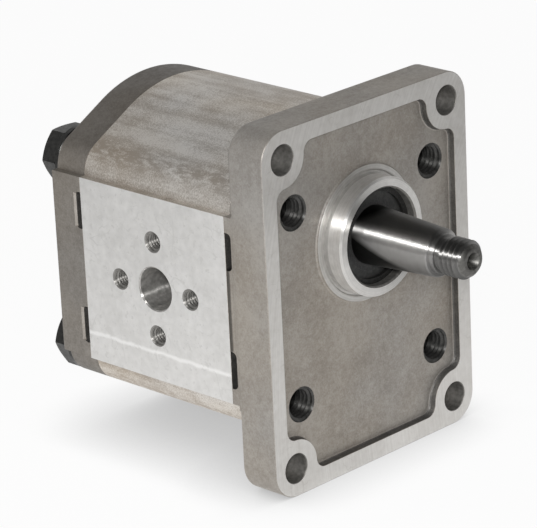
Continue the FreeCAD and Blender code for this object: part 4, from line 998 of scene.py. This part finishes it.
def make_cover():
    """The whole rear cover."""
    levels = edge_break(REAR_JOINT, 0.15 * MM, -1) + rounding(COVER_BACK, 1.0 * MM, 1)
    body = slab("rear cover", HOUSING_OUTLINE, levels, DARK_CAST)
    far = REAR_JOINT + SLOT_WIDTH
    # The slot cutters give the slots' walls painted shade.
    cuts = pry_slots(REAR_JOINT, far, SHADE_PAINTED_CAST) + slot_bevels(far, 0.6 * MM)
    seat, drain, spot_face = COVER_BACK - 0.5 * MM, dim("drain_port", "r_mm"), 10.5 * MM
    depth, oil_way = seat - 9.0 * MM, 2.5 * MM
    profile = [(0, COVER_BACK + MM), (spot_face, COVER_BACK + MM), (spot_face, seat),
               (drain + 0.5 * MM, seat), (drain, seat - 0.5 * MM), (drain, depth),
               (oil_way, depth - 2 * MM), (oil_way, REAR_JOINT - MM), (0, REAR_JOINT - MM)]
    cuts.append(lathe("drain port", profile, DRILLED, (0, 0, MIDDLE), segments=96))
    for height in (0.0, 2 * MIDDLE):
        cuts.append(plain_hole("shaft end room", (0, 0, height), SHAFT_ROOM, REAR_JOINT - 2 * MM,
                               REAR_JOINT + MM, DRILLED))
    for centre in BOLT_PLACES:
        cuts.append(plain_hole("bolt hole", centre, BOLT_HOLE, REAR_JOINT, COVER_BACK, DRILLED, 48))
    return carved(body, cuts=cuts)


cover = make_cover()
print("cover:", len(cover.data.polygons), "faces")

# %% [markdown]
# ## Threads, grown by Geometry Nodes
# A thread is one ridge that climbs round a cylinder. Geometry Nodes has both halves ready: a spiral
# curve, and Curve to Mesh to sweep a small profile along it. The tree takes the radius, pitch, turns
# and depth as inputs, so one tree makes the shaft's outside thread and every tapped hole.

# %% Helpers for Geometry Nodes
def new_tree(name, inputs):
    """A node group with named inputs; returns it, the function that adds nodes, and the inputs."""
    tree = bpy.data.node_groups.new(name, "GeometryNodeTree")
    tree.interface.new_socket("Geometry", in_out="OUTPUT", socket_type="NodeSocketGeometry")
    for label, kind in inputs.items():
        tree.interface.new_socket(label, in_out="INPUT", socket_type="NodeSocket" + kind)
    add = adder(tree)
    return tree, add, add("NodeGroupInput").outputs


def end_tree(add, shape, finish):
    """Ends a tree: the copies are made real and get their finish."""
    real = add("GeometryNodeRealizeInstances", {"Geometry": shape}).outputs[0]
    covered = add("GeometryNodeSetMaterial", {"Geometry": real, "Material": finish}).outputs[0]
    add("NodeGroupOutput", {"Geometry": covered})


def grown(name, tree, amounts):
    """An object with the plain mesh that a tree makes; inputs are set by their identifiers."""
    host = placed(name, bpy.data.meshes.new(name))
    step = host.modifiers.new("grow", "NODES")
    step.node_group = tree
    for item in tree.interface.items_tree:
        if item.in_out == "INPUT":
            step[item.identifier] = amounts[item.name]
    return settled(host)


print("helpers: new_tree, end_tree, grown")

# %% Thread tree
def thread_tree():
    """Node group: a helical ridge about Z from height 0, fading out at both ends."""
    sizes = dict.fromkeys(("Radius", "Pitch", "Turns", "Depth", "Crest"), "Float")
    tree, add, given = new_tree("thread ridge", {**sizes, "Finish": "Material"})
    spiral = add("GeometryNodeCurveSpiral", {
        "Resolution": 72, "Rotations": given["Turns"], "Start Radius": given["Radius"],
        "End Radius": given["Radius"], "Height": scaled(add, given["Pitch"], given["Turns"]),
        "Reverse": True}).outputs[0]
    upright = add("GeometryNodeSetCurveNormal", {"Curve": spiral}, mode="Z_UP").outputs[0]
    along = add("GeometryNodeSplineParameter").outputs["Factor"]
    fade = spread(add, size_of(add, total(add, along, -0.5)), 1.0, 0.05, 0.42, 0.5)
    faded = add("GeometryNodeSetCurveRadius", {"Curve": upright, "Radius": fade}).outputs[0]
    # The ridge's half width, and how far out it lies, at its foot and at its crest.
    foot = (scaled(add, given["Pitch"], 0.47), scaled(add, given["Depth"], -0.15))
    crest = (scaled(add, given["Pitch"], given["Crest"]), given["Depth"])
    corners = [add("ShaderNodeCombineXYZ", {0: out, 1: scaled(add, half, side)}).outputs[0]
               for half, out in (foot, crest) for side in (1.0, -1.0)]
    profile = add("GeometryNodeCurvePrimitiveQuadrilateral", {
        "Point 1": corners[0], "Point 2": corners[1], "Point 3": corners[3], "Point 4": corners[2]},
                  mode="POINTS").outputs[0]
    ridge = add("GeometryNodeCurveToMesh", {"Curve": faded, "Profile Curve": profile, "Fill Caps": True})
    if "Scale" in ridge.inputs:
        tree.links.new(add("GeometryNodeInputRadius").outputs[0], ridge.inputs["Scale"])
    end_tree(add, ridge.outputs[0], given["Finish"])
    return tree


THREAD = thread_tree()


def thread_mesh(radius, pitch, turns, depth, finish):
    """The ridge as a plain mesh about Z. A negative depth points it inwards, with a wider crest."""
    host = grown("thread", THREAD, {"Radius": radius, "Pitch": pitch, "Turns": turns, "Depth": depth,
                                    "Crest": 0.0625 if depth > 0 else 0.125, "Finish": finish})
    mesh = host.data
    bpy.data.objects.remove(host)
    shape = bmesh.new()
    shape.from_mesh(mesh)
    bmesh.ops.remove_doubles(shape, verts=shape.verts, dist=1e-7)
    bmesh.ops.recalc_face_normals(shape, faces=shape.faces)
    shape.to_mesh(mesh)
    shape.free()
    return mesh


def gathered(name, meshes, material):
    """Several placed copies of meshes as one object; meshes is a list of (mesh, matrix)."""
    shape = bmesh.new()
    for mesh, matrix in meshes:
        moved = mesh.copy()
        moved.transform(matrix)
        shape.from_mesh(moved)
        bpy.data.meshes.remove(moved)
    return finished_object(name, shape, material)


TO_PLUS_Y, TO_MINUS_Y = (Matrix.Rotation(math.radians(angle), 4, "X") for angle in (-90, 90))
TO_SIDE = {side: Matrix.Rotation(math.radians(-90 * side), 4, "Y") for side in (1, -1)}
print("thread tree:", len(THREAD.nodes), "nodes")

# %% Threads in the tapped holes
recess_thread = thread_mesh(5.08 * MM, pitch=1.5 * MM, turns=4.1, depth=-0.75 * MM, finish=TAPPED)
flange_threads = gathered("flange threads", [
    (recess_thread, Matrix.Translation(centre + Vector((0, RECESS + 0.35 * MM, 0))) @ TO_PLUS_Y)
    for centre in BOLT_PLACES], TAPPED)

port_thread = thread_mesh(3.03 * MM, pitch=1.0 * MM, turns=10.5, depth=-0.5 * MM, finish=CROSS_TAPPED)
port_threads = gathered("port screw threads", [
    (port_thread, Matrix.Translation(place + Vector((side * (PORT_FACE - 0.5 * MM), 0, 0))) @ TO_SIDE[side])
    for side in (1, -1) for place in SCREW_PLACES], CROSS_TAPPED)

drain_thread = thread_mesh(6.63 * MM, pitch=1.337 * MM, turns=6.0, depth=-0.8 * MM, finish=DRILLED)
drain_threads = gathered("drain port thread", [
    (drain_thread, Matrix.Translation((0, COVER_BACK - 0.8 * MM, MIDDLE)) @ TO_MINUS_Y)], DRILLED)
for piece in (flange_threads, port_threads, drain_threads):
    smoothed(piece, 40)
print("threads:", [len(piece.data.polygons) for piece in (flange_threads, port_threads, drain_threads)])

# %% [markdown]
# ## The drive shaft
# What shows of the shaft is turned: a thread for the hub's nut, a relief groove, a collar and the
# long taper. The gear behind it is already exact in the frame, so its mesh is copied, cut off
# behind the seal and joined to a finely turned front.

# %% Shaft front
SHAFT_CUT = 12.0 * MM


def shaft_front():
    """The turned front end with its centre hole and chamfers, and the seat of the key."""
    end, thread_top, collar, neck, wide = SHAFT_TIP, 5.02 * MM, 6.0 * MM, 4.9 * MM, 9.0 * MM
    profile = [(0, end + 5.0 * MM), (1.0 * MM, end + 5.0 * MM), (1.0 * MM, end + 2.86 * MM),
               (2.55 * MM, end + 0.17 * MM), (2.75 * MM, end), (3.85 * MM, end), (4.0 * MM, end + 0.05 * MM),
               (thread_top, end + 1.02 * MM), (thread_top, -31.3 * MM), (neck, -31.2 * MM),
               (neck, -29.95 * MM), (5.0 * MM, -29.8 * MM), (5.85 * MM, -29.8 * MM), (collar, -29.65 * MM),
               (collar, -28.4 * MM), (7.0 * MM, -28.4 * MM), (7.32 * MM, -28.1 * MM), (wide, -1.2 * MM),
               (wide, SHAFT_CUT), (0, SHAFT_CUT)]
    body = lathe("drive gear shaft", profile, SHAFT_END, segments=160)
    low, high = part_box("woodruff_key")
    half = (high.z - low.z + 0.04 * MM) / 2
    disc = 6.5 * MM
    outline = arc((low.x + disc, (low.y + high.y) / 2), disc, 0, 360, 6)[:-1]
    seat = slab("key seat", outline, [(-half, 0.0), (half, 0.0)], GROUND, along="Z", middle=0.0)
    return carved(body, cuts=[seat])


def shaft_back():
    """The frame's own gear and journals behind the cut, as a copy with its seams merged."""
    shape = bmesh.new()
    shape.from_mesh(frame["nodes"]["drive_gear_shaft"].data)
    bmesh.ops.remove_doubles(shape, verts=shape.verts, dist=SAME_PLACE)
    everything = shape.verts[:] + shape.edges[:] + shape.faces[:]
    cut = bmesh.ops.bisect_plane(shape, geom=everything, plane_co=(0, SHAFT_CUT, 0), plane_no=(0, -1, 0),
                                 clear_outer=True)
    rim = [piece for piece in cut["geom_cut"] if isinstance(piece, bmesh.types.BMEdge)]
    bmesh.ops.holes_fill(shape, edges=rim)
    return finished_object("shaft back", shape, GROUND)


def shaft_thread():
    """The outside thread, turned down where the end chamfer meets it."""
    pitch = 1.75 * MM
    start, stop = SHAFT_TIP + 0.5 * MM, -31.4 * MM
    turns = (stop - start) / pitch
    ridge = thread_mesh(4.95 * MM, pitch, turns, depth=1.05 * MM, finish=SHAFT_END)
    ridge.transform(Matrix.Translation((0, start, 0)) @ TO_PLUS_Y)
    for vertex in ridge.vertices:
        reach = math.hypot(vertex.co.x, vertex.co.z)
        allowed = max(4.0 * MM + (vertex.co.y - SHAFT_TIP) - 0.02 * MM, 3.9 * MM)
        if reach > allowed:
            vertex.co.x *= allowed / reach
            vertex.co.z *= allowed / reach
    return gathered("shaft thread", [(ridge, Matrix.Identity(4))], SHAFT_END)


def on_shaft_face(face):
    """The end face with its chamfer and its centre hole."""
    beyond = face.center.y - SHAFT_TIP
    return beyond < 1.0 * MM or (from_shaft(face) < 2.8 * MM and beyond < 5.1 * MM)


shaft = shaft_front()
back_half = smoothed(shaft_back(), 25)
thread = smoothed(shaft_thread(), 40)
with bpy.context.temp_override(active_object=shaft, selected_editable_objects=[shaft, back_half, thread]):
    bpy.ops.object.join()
faced = painted(shaft, FACED, on_shaft_face)
print("shaft:", len(shaft.data.polygons), "faces,", faced, "on its end")

# %% [markdown]
# ## Bolts and washers
# Four equal bolts hold the motor together. One bolt is modelled, and Geometry Nodes puts a copy
# at each corner of a square, which is how a pattern of fasteners is drawn. The tree realises the
# copies and sets their finish, so what comes out is a plain mesh.

# %% The pattern tree
def pattern_tree():
    """Node group: copies of an object at the corners of a square in the XZ plane."""
    tree, add, given = new_tree("four corners", {"Piece": "Object", "Pitch": "Float", "Centre": "Vector",
                                                 "Finish": "Material"})
    square = add("GeometryNodeMeshGrid", {"Vertices X": 2, "Vertices Y": 2, "Size X": given["Pitch"],
                                          "Size Y": given["Pitch"]}).outputs[0]
    standing = add("GeometryNodeTransform", {"Geometry": square, "Rotation": (math.radians(90), 0, 0),
                                             "Translation": given["Centre"]}).outputs[0]
    source = add("GeometryNodeObjectInfo", {"Object": given["Piece"]}).outputs["Geometry"]
    copies = add("GeometryNodeInstanceOnPoints", {"Points": standing, "Instance": source}).outputs[0]
    end_tree(add, copies, given["Finish"])
    return tree


FOUR_CORNERS = pattern_tree()


def at_four_corners(name, piece, finish):
    """The piece copied to the four bolt places, as one plain mesh object."""
    made = grown(name, FOUR_CORNERS, {"Piece": piece, "Pitch": BOLT_PITCH, "Centre": (0, 0, MIDDLE),
                                      "Finish": finish})
    bpy.data.objects.remove(piece)
    return smoothed(made)


print("pattern tree:", len(FOUR_CORNERS.nodes), "nodes")

# %% Place the bolts and washers
def cylinder_profile(radius, low, high, break_low, break_high):
    """A shaft's profile with chamfered ends."""
    return [(0, low), (radius - break_low, low), (radius, low + break_low), (radius, high - break_high),
            (radius - break_high, high), (0, high)]


def bolt_piece():
    """One bolt in its real station along the motor, on the Y axis, with a corner towards the ports."""
    tip, crest = stations("through_bolts")
    seat = stations("bolt_washers")[1]
    across_flats, crown, wide = 17.0 * MM, 8.1 * MM, 12 * MM
    outline = arc((0, 0), across_flats / math.sqrt(3), 0, 300, 60)
    head = slab("bolt", outline, [(seat, 0.0), (crest, 0.0)], BLACK, middle=0.0)
    flank = crest - (wide - crown) * math.tan(math.radians(30))
    cone = lathe("crown", [(0, seat - MM), (wide, seat - MM), (wide, flank), (crown, crest), (0, crest)],
                 BLACK, segments=96)
    shank = lathe("shank", cylinder_profile(5.0 * MM, tip, seat + MM, 0.8 * MM, 0), BLACK, segments=64)
    return carved(head, keeps=[cone], joins=[shank])


def washer_piece():
    """One washer on the Y axis."""
    low, high = stations("bolt_washers")
    body = lathe("washer", cylinder_profile(9.8 * MM, low, high, 0.2 * MM, 0.3 * MM), BLACK, segments=96)
    return carved(body, cuts=[plain_hole("hole", (0, 0, 0), BOLT_HOLE, low, high, BLACK)])


bolts = at_four_corners("bolts", bolt_piece(), BLACK)
washers = at_four_corners("washers", washer_piece(), BLACK)
print("bolts:", len(bolts.data.polygons), "faces, washers:", len(washers.data.polygons))

# %% [markdown]
# ## The pieces that stay as they are
# Everything inside the casings, and the seal and its ring in the spigot, keeps the frame's own mesh.
# Each gets the finish of its own material in place of the plain one that it came with.

# %% Finishes on the frame's own pieces
FINISHES = {
    "front_flange": CAST, "gear_housing": EXTRUDED, "rear_cover": DARK_CAST, "through_bolts": BLACK,
    "bolt_washers": BLACK, "drive_gear_shaft": GROUND, "driven_gear_shaft": GROUND,
    "woodruff_key": KEY_STEEL, "shaft_seal_case": COATED, "shaft_seal_lip": RUBBER,
    "seal_garter_spring": PHOSPHATED, "seal_retaining_ring": PHOSPHATED,
}
for piece, finish in (("dowels", KEY_STEEL), ("bearing_block", BEARING), ("drive_bush", BRONZE),
                      ("driven_bush", BRONZE), ("body_seal", RUBBER), ("balance_seal", RUBBER),
                      ("backup_ring", PLASTIC)):
    FINISHES["front_" + piece] = finish
    FINISHES["rear_" + piece] = finish
for node, finish in FINISHES.items():
    for slot in frame["nodes"][node].material_slots:
        slot.material = finish
print("finished:", len(FINISHES), "of", len(frame["nodes"]), "frame pieces")

# %% [markdown]
# ## What moves with what
# The new pieces stand for the solids whose place they take. Each one rides on the body that carries it, so
# when the shaft turns, its thread turns with it.

# %% Riders
for piece, body, node, finish in (
        (flange, "casing", "front_flange", "cast_aluminium"),
        (housing, "casing", "gear_housing", "extruded_aluminium"),
        (cover, "casing", "rear_cover", "cast_aluminium"),
        (shaft, "drive_shaft", "drive_gear_shaft", "ground_steel"),
        (bolts, "casing", "through_bolts", "black_steel"),
        (washers, "casing", "bolt_washers", "black_steel")):
    piece.name = node + "_dressed"
    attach(piece, body)
    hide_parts(node)
for piece, finish in ((flange_threads, "cast_aluminium"), (port_threads, "extruded_aluminium"),
                      (drain_threads, "cast_aluminium")):
    piece.name = piece.name.replace(" ", "_")
    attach(piece, "casing")

# %% [markdown]
# ## The studio
# The shadows and highlights of the photograph tell how it was lit: a lamp just above the camera, a
# smaller one on the left, a white table, a white backdrop behind and a dark room in front and above.
# The lamp draws the bright line along the shaft and inside the drilled holes; on the shaft, the dark beside
# that line is painted reflection. The backdrop lights all that faces up, and the table's contact shadow is
# painted.

# %% The white table
def table_finish():
    """White paper: plain diffuse, lifted to white for the camera with a painted contact shadow, and in
    reflections lit as a painted pool of light near the motor.
    """
    material, add = new_finish("white paper")
    tree = material.node_tree
    tree.nodes.remove(tree.nodes["Principled BSDF"])
    rays = add("ShaderNodeLightPath").outputs
    mirrored = total(add, rays["Is Glossy Ray"], rays["Is Transmission Ray"])
    away = directed(add, "DISTANCE", place_on(add), (0, 0, CAD_BOX[0].z))
    # Painted light: in reflections the table glows near the motor and fades further away, a painted pool of
    # light.
    near = spread(add, away, NEAR_LIFT, FAR_LIFT, *LIFT_REACH)
    lift = blend(add, (CAMERA_LIFT, rays["Is Camera Ray"]), (near, mirrored))
    # Painted shadow: ambient occlusion dims the table's glow under and beside the motor.
    painted_shadow = add("ShaderNodeAmbientOcclusion", {"Distance": SHADOW_REACH}).outputs["AO"]
    strength = computed(add, "MAXIMUM", spread(add, painted_shadow, 0.45, 1.0, 0.0, 0.9), mirrored)
    paper = add("ShaderNodeBsdfDiffuse", {"Color": (0.9, 0.9, 0.9, 1)}).outputs[0]
    glow = add("ShaderNodeEmission", {"Strength": strength}).outputs[0]
    mixed = add("ShaderNodeMixShader", {0: lift, 1: paper, 2: glow}).outputs[0]
    tree.links.new(mixed, tree.nodes["Material Output"].inputs["Surface"])
    return material


CAMERA_LIFT = 0.95
NEAR_LIFT, FAR_LIFT, LIFT_REACH = 0.9, 0.1, (0.09, 0.32)
SHADOW_REACH = 0.030
TABLE_REACH = 3.0
table_mesh = bpy.data.meshes.new("table")
corners = [(side * TABLE_REACH, end * TABLE_REACH, CAD_BOX[0].z) for side, end in QUARTERS]
table_mesh.from_pydata(corners, [], [(0, 1, 2, 3)])
table_mesh.materials.append(table_finish())
table = placed("table", table_mesh)
print("table:", TABLE_REACH, "m to each side, at", round(CAD_BOX[0].z / MM, 1), "mm")

# %% The lamps and the room
TARGET = (CAD_BOX[0] + CAD_BOX[1]) / 2


def lamp(name, direction, size, power):
    """A square lamp, a metre away, that looks at the motor."""
    light = bpy.data.lights.new(name, "AREA")
    light.shape = "RECTANGLE"
    light.size = size
    light.size_y = size
    light.energy = power
    made = placed(name, light)
    direction = Vector(direction).normalized()
    made.location = TARGET + direction
    made.rotation_mode = "QUATERNION"
    made.rotation_quaternion = (-direction).to_track_quat("-Z", "Y")
    return made


lamp("lamp by the camera", (-0.67, -0.63, 0.39), size=0.09, power=5.1)
lamp("lamp on the left", (-0.87, -0.05, 0.49), size=0.06, power=1.6)


def room(dark, bright, away):
    """A world that is bright low down in one direction, as a backdrop, and dark elsewhere."""
    world = bpy.data.worlds.new("studio")
    bpy.context.scene.world = world
    world.use_nodes = True
    add = adder(world.node_tree)

    def ramp(source, start, end, low, high):
        return add("ShaderNodeMapRange", {"Value": source, "From Min": start, "From Max": end, "To Min": low,
                                          "To Max": high}, interpolation_type="SMOOTHSTEP").outputs["Result"]

    direction = add("ShaderNodeTexCoord").outputs["Generated"]
    parts = parts_of(add, direction)
    behind = ramp(directed(add, "DOT_PRODUCT", direction, away), -0.5, 0.6, 0.0, 1.0)
    beside = ramp(parts["X"], 0.0, -1.0, 0.0, 0.68)
    low_down = ramp(parts["Z"], 0.5, 1.0, 1.0, 0.0)
    strength = ramp(scaled(add, computed(add, "MAXIMUM", behind, beside), low_down), 0.0, 1.0, dark, bright)
    seen = add("ShaderNodeLightPath").outputs["Is Camera Ray"]
    backdrop = world.node_tree.nodes["Background"]
    world.node_tree.links.new(computed(add, "MAXIMUM", seen, strength), backdrop.inputs["Strength"])
    backdrop.inputs["Color"].default_value = (1, 1, 1, 1)


room(dark=0.08, bright=0.62, away=(-back.x, -back.y, 0))
print("studio: a lamp by the camera, a smaller one on the left, and a dark room with a bright end")
